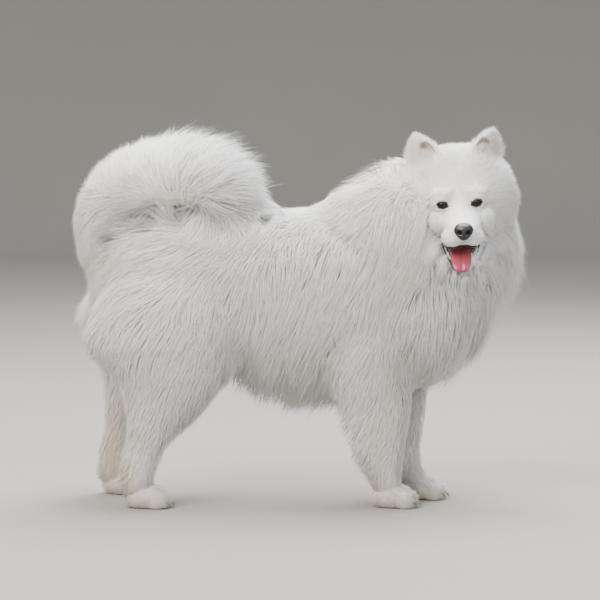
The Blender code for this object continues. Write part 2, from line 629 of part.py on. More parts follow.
def main():
    clear_scene()
    coat = material("white_coat", WHITE, 0.8)
    paw_coat = material("paw_coat", PAW_WHITE, 0.8)
    black = material("black_skin", BLACK, 0.35)
    pink = material("tongue_pink", PINK, 0.3)
    brown = material("eye_brown", EYE_BROWN, 0.08)
    claw_grey = material("claw_horn", CLAW_GREY, 0.4)

    head_place = head_matrix()
    torso_limb = Limb(TORSO_ROWS, 17, 16)
    neck_limb = Limb(NECK_ROWS, 10, 16)
    tail_limb = Limb(TAIL_ROWS, 14, 10)
    head_limb = Limb(HEAD_ROWS, 22, 20, (1, 0, 0), 2.1, (0, -1, 0), head_place)
    jaw_limb = Limb(JAW_ROWS, 9, 12, (1, 0, 0), 2.4, None, head_place)
    tongue_limb = Limb(TONGUE_ROWS, 12, 8, (1, 0, 0), 2.4, None, head_place)
    nose_limb = Limb(NOSE_ROWS, 6, 12, (1, 0, 0), 2.2, None, head_place)

    def torso_cutter():
        return torso_limb.solid("cutter", CORE_SHARE, GAP)

    def head_cutter():
        return head_limb.solid("cutter", CORE_SHARE, GAP)

    torso = torso_limb.solid("torso", CORE_SHARE)
    head = build_head(head_limb, torso_cutter())
    tongue = subtract(tongue_limb.solid("tongue"), head_cutter(), torso_cutter())
    jaw = subtract(jaw_limb.solid("lower_jaw", SHORT_SHARE), head_cutter(), torso_cutter())
    subtract(jaw, tongue_limb.solid("cutter", 0.0, GAP))
    for sign in (-1, 1):
        rows = [(sign * row[0], *row[1:]) for row in CANINE_ROWS]
        tooth = subtract(Limb(rows, 4, 6, place=head_place).solid("tooth"), tongue_limb.solid("cutter", 0.0, GAP))
        fuse(jaw, [tooth])
    ears = [ear_limb(sign) for sign in (-1, 1)]
    neck = subtract(neck_limb.solid("neck", CORE_SHARE), torso_cutter(), head_cutter())
    subtract(neck, jaw_limb.solid("cutter", SHORT_SHARE, GAP), tongue_limb.solid("cutter", 0.0, GAP))
    subtract(neck, *[ear.solid("cutter", SHORT_SHARE, GAP) for ear in ears])
    tail = subtract(tail_limb.solid("tail", CORE_SHARE), torso_cutter())
    nose = build_nose(head_cutter(), nose_limb)
    face = [(tongue, pink), (jaw, coat), (nose, black)]
    for side, sign in (("right", -1), ("left", 1)):
        face.append((subtract(build_ear("ear_" + side, sign), head_cutter()), coat))
        face.append((eye_ball("eye_" + side, sign, (EYE_RADIUS,) * 3), brown))

    limbs = [
        ("fore", "right", right_limb(FORELEG_ROWS), FORE_PAW_X, -FORE_TRACK),
        ("fore", "left", left_foreleg(FORELEG_ROWS), FORE_PAW_X + FAR_FORE_PAW_STEP, FAR_FORE_TRACK),
        ("hind", "right", right_limb(HINDLEG_ROWS), HIND_PAW_X, -HIND_TRACK),
        ("hind", "left", left_hindleg(HINDLEG_ROWS), HIND_PAW_X + FAR_HIND_STEP, HIND_TRACK),
    ]
    legs, hocks, feet = [], [], []
    for place, side, rows, paw_x, paw_y in limbs:
        limb = Limb(rows, 12, 10)
        leg = limb.solid(f"{place}leg_{side}", CORE_SHARE)
        if place == "hind":
            hock = subtract(limb.solid(f"hock_{side}", CORE_SHARE), build_paw("cutter", paw_x, paw_y, GAP))
            subtract(hock, box((-800, -400, HOCK_HEIGHT - GAP), (800, 400, 800)))
            subtract(leg, box((-800, -400, -100), (800, 400, HOCK_HEIGHT)))
            hocks.append((hock, coat))
        else:
            subtract(leg, build_paw("cutter", paw_x, paw_y, GAP))
        legs.append((subtract(leg, torso_cutter()), limb))
        feet.append((build_paw(f"{place}paw_{side}", paw_x, paw_y), paw_coat))
        for number, lane in enumerate(TOE_LANES):
            claw = build_claw(f"claw_{place}_{side}_{number + 1}", paw_x, paw_y, lane)
            feet.append((claw, claw_grey))

    nodes = [head, neck, torso, tail, *[leg for leg, limb in legs], *[obj for obj, finish in face + hocks + feet]]

    def others(obj):
        return [node for node in nodes if node is not obj]

    turn_back = back_and_down(0.45, 1.0)
    add_locks(neck, neck_limb, others(neck), 1, (1.0, 4.4, 0, 1), 46, neck_flow, (135, 64, 12), 1.05)
    add_locks(head, head_limb, others(head), 2, (0.8, 3.6, -0.12, 0.13), 38, cheek_flow, (80, 50, 9), 1.05)
    add_locks(head, head_limb, others(head), 3, (0.8, 3.6, 0.37, 0.62), 38, cheek_flow, (80, 50, 9), 1.05)
    add_locks(head, head_limb, others(head), 4, (0.8, 3.2, 0.15, 0.35), 38, crown_flow, (60, 44, 7))
    add_locks(tail, tail_limb, others(tail), 5, (0.6, 7.6, 0, 1), 50, plume_flow, (110, 62, 13), 1.1)
    for number, (leg, limb) in enumerate(legs):
        fore = number < 2
        region, spacing = ((2.8, 6.0, 0.58, 0.92), 40) if fore else ((0.8, 4.6, 0.5, 1.0), 54)
        size = (70, 40, 9) if fore else (100, 56, 11)
        add_locks(leg, limb, others(leg), 6 + number, region, spacing, back_and_down(0.5, 1.0), size, 1.05)
    down = back_and_down(0.35, 1.0)
    add_locks(torso, torso_limb, others(torso), 20, (0.6, 7.8, 0, 1), 58, down, (130, 70, 12), 1.06)

    parts = [(head, coat), (neck, coat), (torso, coat), (tail, coat)]
    parts += [(leg, coat) for leg, limb in legs] + face + hocks + feet
    samoyed = bpy.data.collections.new("samoyed")
    bpy.context.scene.collection.children.link(samoyed)
    for obj, finish in parts:
        obj.data.transform(Matrix.Translation(CENTRE_SHIFT))
        obj.data.materials.clear()
        obj.data.materials.append(finish)
        bpy.context.scene.collection.objects.unlink(obj)
        samoyed.objects.link(obj)


main()
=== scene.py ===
# %% [markdown]
# # A samoyed, life size, standing with its tail over its back
# A samoyed is a white spitz with a double coat: a dense undercoat, and over it long guard hairs that stand
# off the body in a ruff round the face and a plume on the tail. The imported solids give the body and
# how far the coat reaches. This lesson dresses them: one skin over all the flesh, a coat of tufts
# combed over it, and the parts of the face one by one. Lengths are millimetres until a mesh is made.

# %% Load the solids and measure them
import math
import time

import bpy
import numpy as np
from mathutils import Matrix, Vector
from mathutils.bvhtree import BVHTree


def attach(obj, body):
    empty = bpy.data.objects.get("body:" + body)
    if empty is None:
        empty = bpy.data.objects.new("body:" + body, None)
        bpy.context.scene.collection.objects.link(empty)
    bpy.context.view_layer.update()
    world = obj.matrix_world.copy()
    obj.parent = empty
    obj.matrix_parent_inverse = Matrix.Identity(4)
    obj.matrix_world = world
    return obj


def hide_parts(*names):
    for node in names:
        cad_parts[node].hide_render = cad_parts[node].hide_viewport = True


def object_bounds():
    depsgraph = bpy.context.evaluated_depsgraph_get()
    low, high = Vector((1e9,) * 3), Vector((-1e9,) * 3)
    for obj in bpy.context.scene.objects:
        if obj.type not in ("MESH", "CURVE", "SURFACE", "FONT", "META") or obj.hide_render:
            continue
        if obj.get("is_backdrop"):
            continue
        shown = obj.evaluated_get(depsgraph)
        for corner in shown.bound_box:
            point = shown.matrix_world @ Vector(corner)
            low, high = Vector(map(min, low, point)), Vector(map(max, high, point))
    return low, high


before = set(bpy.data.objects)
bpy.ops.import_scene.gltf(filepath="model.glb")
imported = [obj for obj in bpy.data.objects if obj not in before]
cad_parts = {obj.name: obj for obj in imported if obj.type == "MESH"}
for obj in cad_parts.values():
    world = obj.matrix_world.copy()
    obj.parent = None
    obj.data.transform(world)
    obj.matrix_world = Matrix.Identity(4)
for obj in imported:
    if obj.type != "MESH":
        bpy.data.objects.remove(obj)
cad_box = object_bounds()
MM = 0.001
started = time.time()
print("nodes:", len(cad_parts), "box:", [[round(value, 4) for value in corner] for corner in cad_box])

# %% [markdown]
# Every colour below is written as the hex value one would read off a swatch. Blender mixes light in
# linear values, so one function turns the first kind into the second.

# %% Colours
def linear(hex_colour):
    """The sRGB curve undone for each of the three channels: dark values are divided, the rest raised to 2.4."""
    values = np.array([int(hex_colour[k:k + 2], 16) for k in (1, 3, 5)]) / 255
    return np.where(values <= 0.04045, values / 12.92, ((values + 0.055) / 1.055) ** 2.4)


def add_node(tree, kind, inputs=None, **settings):
    """Adds a node, sets its properties, and fills its sockets with values or links to other sockets."""
    made = tree.nodes.new(kind)
    for name, value in settings.items():
        setattr(made, name, value)
    for name, value in (inputs or {}).items():
        if isinstance(value, bpy.types.NodeSocket):
            tree.links.new(value, made.inputs[name])
        else:
            made.inputs[name].default_value = value
    return made


def new_material(name, **sockets):
    """A material with one Principled shader, whose even values go straight on its sockets."""
    made = bpy.data.materials.new(name)
    made.use_nodes = True
    shader = made.node_tree.nodes["Principled BSDF"]
    for socket, value in sockets.items():
        shader.inputs[socket.replace("_", " ")].default_value = value
    return made, made.node_tree, shader


# %% [markdown]
# The solids are lofts along a path, with a skin and a coat over it. The same tables are written here
# again, so that the coat of the render fills the same outline. A row holds the middle of the body, the
# sizes of the skin to the side, up and down, and how much the coat adds to each.

# %% Tables of the body
CENTRE_SHIFT = np.array([9.0, 21.5, 0.0])
TORSO_ROWS = [
    (-345, 0, 470, 30, 35, 40, 30, 15, 40, -38), (-322, 0, 465, 70, 64, 80, 35, 18, 50, -28),
    (-250, 0, 458, 92, 88, 98, 40, 32, 55, 0), (-130, 0, 458, 90, 92, 108, 42, 36, 90, 0),
    (-10, 0, 450, 98, 104, 130, 44, 35, 105, 0), (110, 0, 438, 104, 120, 142, 46, 36, 85, 0),
    (205, 0, 424, 96, 108, 126, 50, 36, 78, 10), (276, 0, 408, 78, 66, 94, 53, 20, 74, 38),
    (316, 0, 402, 36, 36, 48, 43, 18, 26, 66),
]
NECK_ROWS = [
    (110, 0, 400, 60, 70, 50, 20, 35, 20, 0), (185, 0, 465, 90, 98, 90, 58, 92, 110, 0),
    (236, 2, 520, 80, 88, 84, 55, 102, 134, 0), (276, 8, 572, 72, 78, 74, 44, 104, 132, 0),
    (304, 12, 612, 60, 66, 60, 36, 80, 96, 0), (318, 14, 640, 30, 36, 30, 30, 50, 40, 10),
]
TAIL_ROWS = [
    (-318, 0, 470, 22, 24, 20, 20, 26, 10, 0), (-362, 0, 508, 22, 24, 20, 44, 58, 15, 0),
    (-382, -4, 550, 21, 21, 19, 62, 52, 26, 0), (-374, -10, 592, 19, 19, 17, 74, 58, 40, 0),
    (-336, -18, 624, 18, 18, 16, 82, 70, 58, 0), (-278, -26, 636, 16, 16, 14, 84, 74, 66, 0),
    (-218, -34, 626, 14, 14, 12, 78, 82, 60, 0), (-168, -40, 604, 12, 12, 10, 66, 80, 44, 22),
    (-140, -42, 588, 7, 7, 6, 46, 56, 30, 42),
]
FORELEG_ROWS = [
    (120, 58, 380, 36, 46, 46, 4, 4, 4, 0), (135, 72, 320, 44, 60, 60, 25, 14, 20, 0),
    (152, 78, 255, 36, 44, 48, 22, 18, 46, 0), (165, 80, 200, 30, 34, 34, 16, 24, 56, 0),
    (170, 81, 140, 25, 27, 27, 13, 17, 64, 0), (171, 82, 100, 22, 23, 23, 12, 13, 56, 0),
    (172, 83, 60, 21, 21, 21, 9, 8, 22, 0), (176, 84, 26, 20, 22, 20, 5, 4, 7, 0),
]
HINDLEG_ROWS = [
    (-262, 50, 470, 28, 56, 50, 4, 6, 6, 0), (-262, 66, 420, 50, 95, 82, 28, 18, 56, 0),
    (-255, 78, 350, 50, 102, 92, 34, 34, 86, 0), (-252, 84, 290, 44, 84, 82, 30, 48, 86, 0),
    (-262, 88, 235, 36, 56, 58, 22, 40, 60, 0), (-285, 90, 180, 26, 34, 34, 14, 32, 30, 0),
    (-303, 90, 130, 21, 25, 27, 11, 20, 14, 0), (-316, 90, 85, 19, 21, 21, 11, 19, 20, 0),
    (-321, 90, 45, 19, 20, 20, 10, 14, 20, 0), (-318, 90, 24, 18, 20, 18, 5, 7, 9, 0),
]
# The head has its own axes: x to its left, y to its back, z up, from the point between the eyes
HEAD_ROWS = [
    (0, 118, 5, 24, 34, 28, 40, 32, 10, -40), (0, 100, 3, 56, 62, 55, 52, 36, 15, -20),
    (0, 65, 0, 72, 78, 68, 54, 34, 20, 0), (0, 30, -4, 70, 74, 72, 54, 28, 20, 0),
    (0, 2, -12, 58, 50, 60, 22, 10, 12, 0), (0, -20, -26, 38, 26, 38, 5, 3, 2, 0),
    (0, -50, -37, 31, 21, 30, 5, 3, 2, 0), (0, -80, -44, 26, 21, 24, 3, 2, 2, 0),
    (0, -93, -46, 19, 15, 18, 2, 1, 1, 0), (0, -98, -48, 8, 6, 8, 0, 0, 0, 0),
]
JAW_ROWS = [
    (0, 12, -60, 38, 6, 24, 4, 0, 14, 0), (0, -12, -76, 34, 6, 20, 4, 0, 12, 0),
    (0, -38, -93, 26, 6, 16, 3, 0, 8, 0), (0, -56, -105, 19, 6, 12, 2, 0, 5, 0),
    (0, -65, -111, 9, 4, 7, 1, 0, 3, 0),
]
EAR_ROWS = [
    (46, 62, 48, 30, 13, 13, 4, 4, 4, 0), (52, 60, 76, 29, 12, 11, 4, 4, 3, 0),
    (60, 57, 102, 22, 9, 8, 4, 3, 2, 0), (66, 54, 121, 13, 5, 5, 3, 2, 2, 0),
    (69, 52, 131, 4, 2.5, 2.5, 2, 1, 1, 0),
]
HEAD_PLACE = (311.0, -100.0, 600.0)
HEAD_YAW, HEAD_PITCH, HEAD_ROLL = 1.0, 6.5, -3.8  # degrees

# %% [markdown]
# A limb turns the rows into a surface of two parameters: how far along the rows, and the angle round
# the path. A third number, the share of the coat, moves the point from the skin (0) to the tips (1). The
# path runs on a Catmull-Rom curve, which passes through every row without a kink.

# %% Limbs as surfaces
def unit(vectors):
    return vectors / np.maximum(np.linalg.norm(vectors, axis=-1, keepdims=True), 1e-9)


def smooth_rows(rows, at):
    """The rows read at fractional places, on the Catmull-Rom curve through each four neighbouring rows."""
    ends = np.vstack([2 * rows[0] - rows[1], rows, 2 * rows[-1] - rows[-2]])
    first = np.clip(at.astype(int), 0, len(rows) - 2)
    t = (at - first)[..., None]
    a, b, c, d = (ends[first + k] for k in range(4))
    return (2 * b + (c - a) * t + (2 * a - 5 * b + 4 * c - d) * t**2 + (3 * b - a - 3 * c + d) * t**3) / 2


class Limb:
    """A loft along a path. A point is named by its place along the rows, its angle and its share of coat.

    Point = middle + side way * width * cos(angle)^p + up way * height * sin(angle)^p, where p is 2 over
    the fullness and each size is the skin's plus the share times the coat's.
    """

    def __init__(self, rows, side_way=(0, 1, 0), fullness=2.2, axis=None, place=None):
        self.rows = np.array(rows, float)
        self.last = len(rows) - 1
        self.side_way, self.fullness, self.axis = np.array(side_way, float), fullness, axis
        self.place = np.eye(4) if place is None else place

    def frame(self, at):
        """The table, and the ways along the path, to the side and up, at each place."""
        before, after = np.clip(at - 0.1, 0, self.last), np.clip(at + 0.1, 0, self.last)
        table = smooth_rows(self.rows, at)
        along = unit((smooth_rows(self.rows, after) - smooth_rows(self.rows, before))[..., :3])
        if self.axis is not None:
            along = np.broadcast_to(np.array(self.axis, float), along.shape)
        up = unit(np.cross(along, self.side_way))
        return table, along, unit(np.cross(up, along)), up

    def points(self, at, angle, share):
        table, along, side, up = self.frame(at)
        share = np.broadcast_to(share, at.shape)[..., None]
        sizes = np.maximum(table[..., 3:6] + share * table[..., 6:9], 0.8)
        power = 2 / self.fullness
        across = np.sign(np.cos(angle)) * np.abs(np.cos(angle)) ** power
        rise = np.sign(np.sin(angle)) * np.abs(np.sin(angle)) ** power
        tall = np.where(np.sin(angle) >= 0, sizes[..., 1], sizes[..., 2])
        middle = table[..., :3] + along * table[..., 9:10] * share
        return middle + side * (sizes[..., 0] * across)[..., None] + up * (tall * rise)[..., None]

    def to_model(self, points):
        """From the limb's own axes to the model's, in millimetres."""
        return points @ self.place[:3, :3].T + self.place[:3, 3] + CENTRE_SHIFT

    def rings(self, share, rings, sides):
        at = np.linspace(0, self.last, rings)
        angle = np.linspace(0, 2 * math.pi, sides, endpoint=False)
        return self.to_model(self.points(*np.meshgrid(at, angle, indexing="ij"), share))


def head_axes():
    """The head's axes in the model: turned by its roll, then its pitch, then its yaw."""
    turn = (
        Matrix.Rotation(math.radians(HEAD_YAW), 4, "Z")
        @ Matrix.Rotation(math.radians(HEAD_PITCH), 4, "X")
        @ Matrix.Rotation(math.radians(HEAD_ROLL), 4, "Y")
    )
    return np.array(Matrix.Translation(HEAD_PLACE) @ turn)


HEAD = head_axes()


def on_head(points):
    """Points given in the head's own axes, carried to the model's, in millimetres."""
    return np.asarray(points, float) @ HEAD[:3, :3].T + HEAD[:3, 3] + CENTRE_SHIFT


def in_head(points):
    """Points of the model, read in the head's own axes."""
    return (np.asarray(points, float) - CENTRE_SHIFT - HEAD[:3, 3]) @ HEAD[:3, :3]


# %% Place the limbs
def right_side(rows):
    return [(row[0], -row[1], *row[2:]) for row in rows]


def left_foreleg_rows():
    """The right foreleg's rows on the left: a step ahead of it, and drawn in under the chest."""
    rows = np.array(FORELEG_ROWS, float)
    low = np.clip((330 - rows[:, 2]) / 300, 0, 1)
    foot = np.clip((90 - rows[:, 2]) / 65, 0, 1)
    rows[:, 0] += 38 + 24 * foot
    rows[:, 1] += (24 - rows[:, 1]) * low
    return rows


def left_hindleg_rows():
    """The right hind leg's rows on the left: set back below the hip."""
    rows = np.array(HINDLEG_ROWS, float)
    rows[:, 0] -= 58 * np.clip((470 - rows[:, 2]) / 270, 0, 1)
    return rows


def ear_limb(sign):
    rows = [(sign * (row[0] + 4), *row[1:3], row[3] * 1.22, row[4] * 1.3, row[5] * 1.2, *row[6:]) for row in EAR_ROWS]
    return Limb(rows, (0.85, sign * 0.5, 0), 2.0, None, HEAD)


torso, neck, tail = Limb(TORSO_ROWS), Limb(NECK_ROWS), Limb(TAIL_ROWS)
head = Limb(HEAD_ROWS, (1, 0, 0), 2.1, (0, -1, 0), HEAD)
jaw = Limb(JAW_ROWS, (1, 0, 0), 2.4, None, HEAD)
forelegs = {"right": Limb(right_side(FORELEG_ROWS)), "left": Limb(left_foreleg_rows())}
hindlegs = {"right": Limb(right_side(HINDLEG_ROWS)), "left": Limb(left_hindleg_rows())}
ears = {"right": ear_limb(-1), "left": ear_limb(1)}
PAWS = {"fore_right": (184, -84), "fore_left": (246, 24), "hind_right": (-302, -90), "hind_left": (-360, 90)}
print("limbs:", 3 + 2 + len(forelegs) + len(hindlegs) + len(ears), "paws:", len(PAWS))

# %% [markdown]
# Small closed surfaces come from one helper: a grid of rings, closed round each ring, with a point
# over each end. It gives the eyes, nose, tongue, teeth and toes.

# %% Mesh helpers
def put_mesh(name, points, faces, material=None):
    """A mesh object at the origin. Points in millimetres, faces as lists of point numbers."""
    mesh = bpy.data.meshes.new(name)
    mesh.from_pydata((np.asarray(points) * MM).tolist(), [], faces)
    mesh.polygons.foreach_set("use_smooth", np.ones(len(mesh.polygons), bool))
    made = bpy.data.objects.new(name, mesh)
    bpy.context.scene.collection.objects.link(made)
    if material:
        mesh.materials.append(material)
    return made


def ring_faces(rings, sides, start=0, around=False):
    """Quads between neighbouring rings; with around, the last ring also meets the first."""
    ring, side = np.meshgrid(np.arange(rings if around else rings - 1), np.arange(sides), indexing="ij")
    after, further = (side + 1) % sides, (ring + 1) % rings
    corners = [ring * sides + side, ring * sides + after, further * sides + after, further * sides + side]
    return (np.stack(corners, -1).reshape(-1, 4) + start).tolist()


def closed_loft(rings):
    """Points and faces of rings closed by a fan round the middle of each end ring."""
    count, sides = rings.shape[:2]
    points = np.vstack([rings.reshape(-1, 3), rings[0].mean(0), rings[-1].mean(0)])
    near, far, low = count * sides, count * sides + 1, (count - 1) * sides
    fans = [[near, (k + 1) % sides, k] for k in range(sides)]
    fans += [[far, low + k, low + (k + 1) % sides] for k in range(sides)]
    return points, ring_faces(count, sides) + fans


def ellipsoid(centre, radii, rings=14, sides=20, turn=None):
    """Rings of an ellipsoid: centre + turn * (radii * (sin u cos v, sin u sin v, cos u))."""
    u = np.linspace(0.02, math.pi - 0.02, rings)[:, None]
    v = np.linspace(0, 2 * math.pi, sides, endpoint=False)[None, :]
    round_points = np.stack([np.sin(u) * np.cos(v), np.sin(u) * np.sin(v), np.cos(u) * np.ones_like(v)], -1)
    points = round_points * np.array(radii, float)
    if turn is not None:
        points = points @ np.array(turn)[:3, :3].T
    return points + np.array(centre, float)


def outwards(obj):
    """Turns the faces of a closed mesh outwards if its signed volume is negative."""
    mesh = obj.data
    mesh.calc_loop_triangles()
    corners = np.zeros(len(mesh.loop_triangles) * 3, int)
    mesh.loop_triangles.foreach_get("vertices", corners)
    spots = np.zeros(len(mesh.vertices) * 3)
    mesh.vertices.foreach_get("co", spots)
    a, b, c = (spots.reshape(-1, 3)[corners.reshape(-1, 3)[:, k]] for k in range(3))
    if (np.cross(a, b) * c).sum() < 0:
        mesh.flip_normals()
    return obj


def ride(obj, slot, *nodes):
    """Every piece rides on the only body and may stand for nodes, which it hides; the slot is not used."""
    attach(obj, "root")
    if nodes:
        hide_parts(*nodes)
    return obj


# %% [markdown]
# The skin lies inside the coat by about two fifths of its depth, so that tufts have room to rise. All
# limbs, ears and paws go into one draft; a voxel remesh melts them into one closed surface with no
# seams, and a smoothing rounds the places where they meet.

# %% One skin over all the flesh
SKIN_SHARE = 0.40
SKIN_VOXEL = 4.2
EYE_X, EYE_Y, EYE_Z, EYE_SHIFT, EYE_SLANT, EYE_R = 33.3, -13.0, 2.0, -1.5, 12.0, 11.5
FACE_FORMS = [  # middle and radii, for the right side as seen from the front; the left is mirrored about FACE_MIDDLE
    ((33, -11.5, 2), (18, 13.5, 15)),  # lids
    ((30, -4, 17), (24, 15, 13)),  # brow
    ((20, -58, -56), (20, 32, 19)),  # whisker pad
    ((40, -6, -34), (26, 24, 26)),  # cheek bone
]
FACE_MIDDLE = -2.0


TOE_PITCH = 15.6


def toes(x, y):
    """Four toe balls side by side at the front of a paw 92 long and 64 wide."""
    lanes = (-1.5, -0.5, 0.5, 1.5)
    return [ellipsoid((x + 92 * (0.31 - 0.045 * k * k), y + k * TOE_PITCH, 15), (19.0, 7.6, 18.5), 12, 16) for k in lanes]


def skin_shapes():
    shapes = [limb.rings(SKIN_SHARE, 40, 40) for limb in (torso, neck)]
    shapes += [limb.rings(0.25, 40, 28) for limb in (tail,)]
    shapes += [head.rings(0.45, 50, 48), jaw.rings(0.5, 24, 28)]
    shapes += [limb.rings(0.35, 40, 28) for limb in (*forelegs.values(), *hindlegs.values())]
    shapes += [limb.rings(0.5, 24, 24) for limb in ears.values()]
    for middle, radii in FACE_FORMS:
        for sign in (-1, 1):
            shapes.append(on_head(ellipsoid((sign * middle[0] + FACE_MIDDLE, *middle[1:]), radii, 16, 24)))
    for x, y in PAWS.values():
        place = np.array([*CENTRE_SHIFT[:2], 0])
        shapes.append(ellipsoid((x - 4, y, 21), (39, 29, 27)) + place)
        shapes += [toe + place for toe in toes(x, y)]
    return shapes


def draft_of(shapes):
    """One mesh of many closed lofts, which may pass through each other."""
    points, faces, start = [], [], 0
    for shape in shapes:
        spots, loft = closed_loft(shape)
        points.append(spots)
        faces += [[corner + start for corner in face] for face in loft]
        start += len(spots)
    return put_mesh("draft", np.vstack(points), faces)


def remeshed(draft, voxel, smoothings):
    """The draft's voxel remesh, smoothed, as points in millimetres and faces."""
    remesh = draft.modifiers.new("one_surface", "REMESH")
    remesh.mode, remesh.voxel_size = "VOXEL", voxel * MM
    soft = draft.modifiers.new("soft", "SMOOTH")
    soft.factor, soft.iterations = 0.5, smoothings
    whole = draft.evaluated_get(bpy.context.evaluated_depsgraph_get()).to_mesh()
    spots = np.zeros(len(whole.vertices) * 3)
    whole.vertices.foreach_get("co", spots)
    faces = np.zeros(len(whole.loops), int)
    whole.loops.foreach_get("vertex_index", faces)
    bpy.data.objects.remove(draft)
    return spots.reshape(-1, 3) / MM, faces.reshape(-1, 4)


skin_points, skin_faces = remeshed(draft_of(skin_shapes()), SKIN_VOXEL, 5)
print("skin:", len(skin_points), "points", len(skin_faces), "quads", round(time.time() - started, 1), "s")


# %% [markdown]
# The voxels have blunted what is finer than they are, so the cups of the ears are pressed in afterwards:
# each point of the skin that falls inside a ball before the ear slides back to the far side of that ball.

# %% Press in the ears
CUP_RADII = np.array([17.0, 14.0, 32.0])


def cup_axes(sign):
    turn = Matrix.Rotation(sign * math.radians(20), 3, "Z") @ Matrix.Rotation(sign * math.radians(11), 3, "Y")
    return np.array((sign * 54, 42, 88), float), np.array(turn)


def press_ear(points, sign):
    """In the cup's own axes, a point with |q| < 1 moves to q.y = sqrt(1 - q.x^2 - q.z^2)."""
    centre, turn = cup_axes(sign)
    local = ((in_head(points) - centre) @ turn) / CUP_RADII
    inside = (np.linalg.norm(local, axis=1) < 1) & (local[:, 2] > -0.75)
    local[inside, 1] = np.sqrt(np.clip(1 - local[inside, 0] ** 2 - local[inside, 2] ** 2, 0, 1))
    moved = on_head((local * CUP_RADII) @ turn.T + centre)
    return np.where(inside[:, None], moved, points), inside


def press_eye(points, sign):
    """Points in front of an eye, inside its almond, move back to 1.5 under the surface of the eyeball."""
    local = in_head(points)
    apart = local - np.array([sign * EYE_X + EYE_SHIFT, EYE_Y, EYE_Z])
    inside = ((apart[:, 0] / 11.5) ** 2 + (apart[:, 2] / 7.5) ** 2 < 1) & (apart[:, 1] < 0)
    depth = np.sqrt(np.clip((EYE_R - 1.5) ** 2 - apart[:, 0] ** 2 - apart[:, 2] ** 2, 0, None))
    local[inside, 1] = EYE_Y - depth[inside]
    return np.where(inside[:, None], on_head(local), points)


skin_points = press_eye(press_eye(skin_points, -1), 1)
skin_points, cup_right = press_ear(skin_points, -1)
skin_points, cup_left = press_ear(skin_points, 1)
skin_points[:, 2] = np.maximum(skin_points[:, 2], 0.4)
skin_tree = BVHTree.FromPolygons(skin_points.tolist(), skin_faces.tolist())
print("points in the ear cups:", int(cup_right.sum()), int(cup_left.sum()))

# %% [markdown]
# A white dog isn't one white. Guard hairs are clean and bright, the ears and hocks run to biscuit, and the
# feet are stained by the ground. Some marks are painted shade instead: over and round the eyes, beyond
# their outer corners, under the nose, where the tail meets the back and between the toes. A warm mark
# under the belly is a painted reflection of the floor. The same function colours skin and coat, so that they never
# differ.
# Each mark is a soft bump round a place: exp(-|distance / size|^2).

# %% Markings
WHITE_FUR = linear("#F8F7F5")
MARKS = [  # colour, strength, middle and sizes in the model's millimetres
    (linear("#B3A488"), 0.50, (-312, -112, 138), (26, 50, 24)),
    (linear("#C9AE86"), 0.55, (-340, -90, 62), (24, 50, 44)),
    (linear("#C9AE86"), 0.60, (-378, 95, 75), (34, 60, 55)),
    (linear("#CDB48C"), 0.45, (-340, 95, 150), (60, 60, 70)),
    (linear("#C9B795"), 0.40, (160, -70, 75), (26, 50, 50)),
    # painted shade where the tail's plume meets the back
    (linear("#D9C9A6"), 0.45, (-225, -90, 590), (46, 60, 24)),
    (linear("#E6DAC3"), 0.40, (-345, 0, 430), (70, 120, 80)),
    (linear("#E9DECB"), 0.35, (230, -110, 470), (70, 90, 90)),
    (linear("#E3D6BC"), 0.35, (190, -80, 200), (60, 60, 110)),
    (linear("#E3D6BC"), 0.35, (235, 50, 200), (60, 60, 110)),
    # painted reflection of the floor: a warm tint under the belly
    (linear("#E8DDC6"), 0.30, (60, 0, 300), (260, 140, 50)),
]
HEAD_MARKS = [  # the same, in the head's own axes
    (linear("#E2CDAE"), 0.55, (56, 45, 92), (22, 22, 36)),
    (linear("#E2CDAE"), 0.55, (-56, 45, 92), (22, 22, 36)),
    # painted shade over each eye, under the brow
    (linear("#AFABA3"), 0.50, (-37, -24, 15), (19, 22, 6)),
    (linear("#AFABA3"), 0.50, (34, -24, 15), (19, 22, 6)),
    # painted shade beyond the outer corners of the eyes
    (linear("#C4BFB6"), 0.45, (-62, -8, -4), (16, 26, 9)),
    (linear("#C4BFB6"), 0.45, (58, -8, -4), (16, 26, 9)),
    # painted shade under the nose
    (linear("#85817D"), 0.55, (-3, -98, -60), (15, 22, 8)),
    # painted shade round the eyes
    (linear("#85817D"), 0.55, (-34.8, -22, 2), (15, 16, 10)),
    (linear("#85817D"), 0.55, (31.8, -22, 2), (15, 16, 10)),
    (linear("#CFC3B0"), 0.40, (34, -20, -62), (14, 26, 12)),
    (linear("#CFC3B0"), 0.40, (-34, -20, -62), (14, 26, 12)),
]
FOOT_STAIN = linear("#CDBB98")


def painted_toe_gap_shade(points):
    """Painted shade between the toes: 1 in the three lines between them at the front of each paw, fading within 2 mm.
    """
    shade = np.zeros(len(points))
    for x, y in PAWS.values():
        ahead, across = points[:, 0] - CENTRE_SHIFT[0] - x, (points[:, 1] - CENTRE_SHIFT[1] - y) / TOE_PITCH
        line = np.exp(-((across - np.round(across)) * TOE_PITCH / 2.0) ** 2)
        front = np.clip((ahead - 6) / 10, 0, 1) * (ahead < 60) * (np.abs(across) < 1.6) * (points[:, 2] < 40)
        shade = np.maximum(shade, line * front)
    return shade


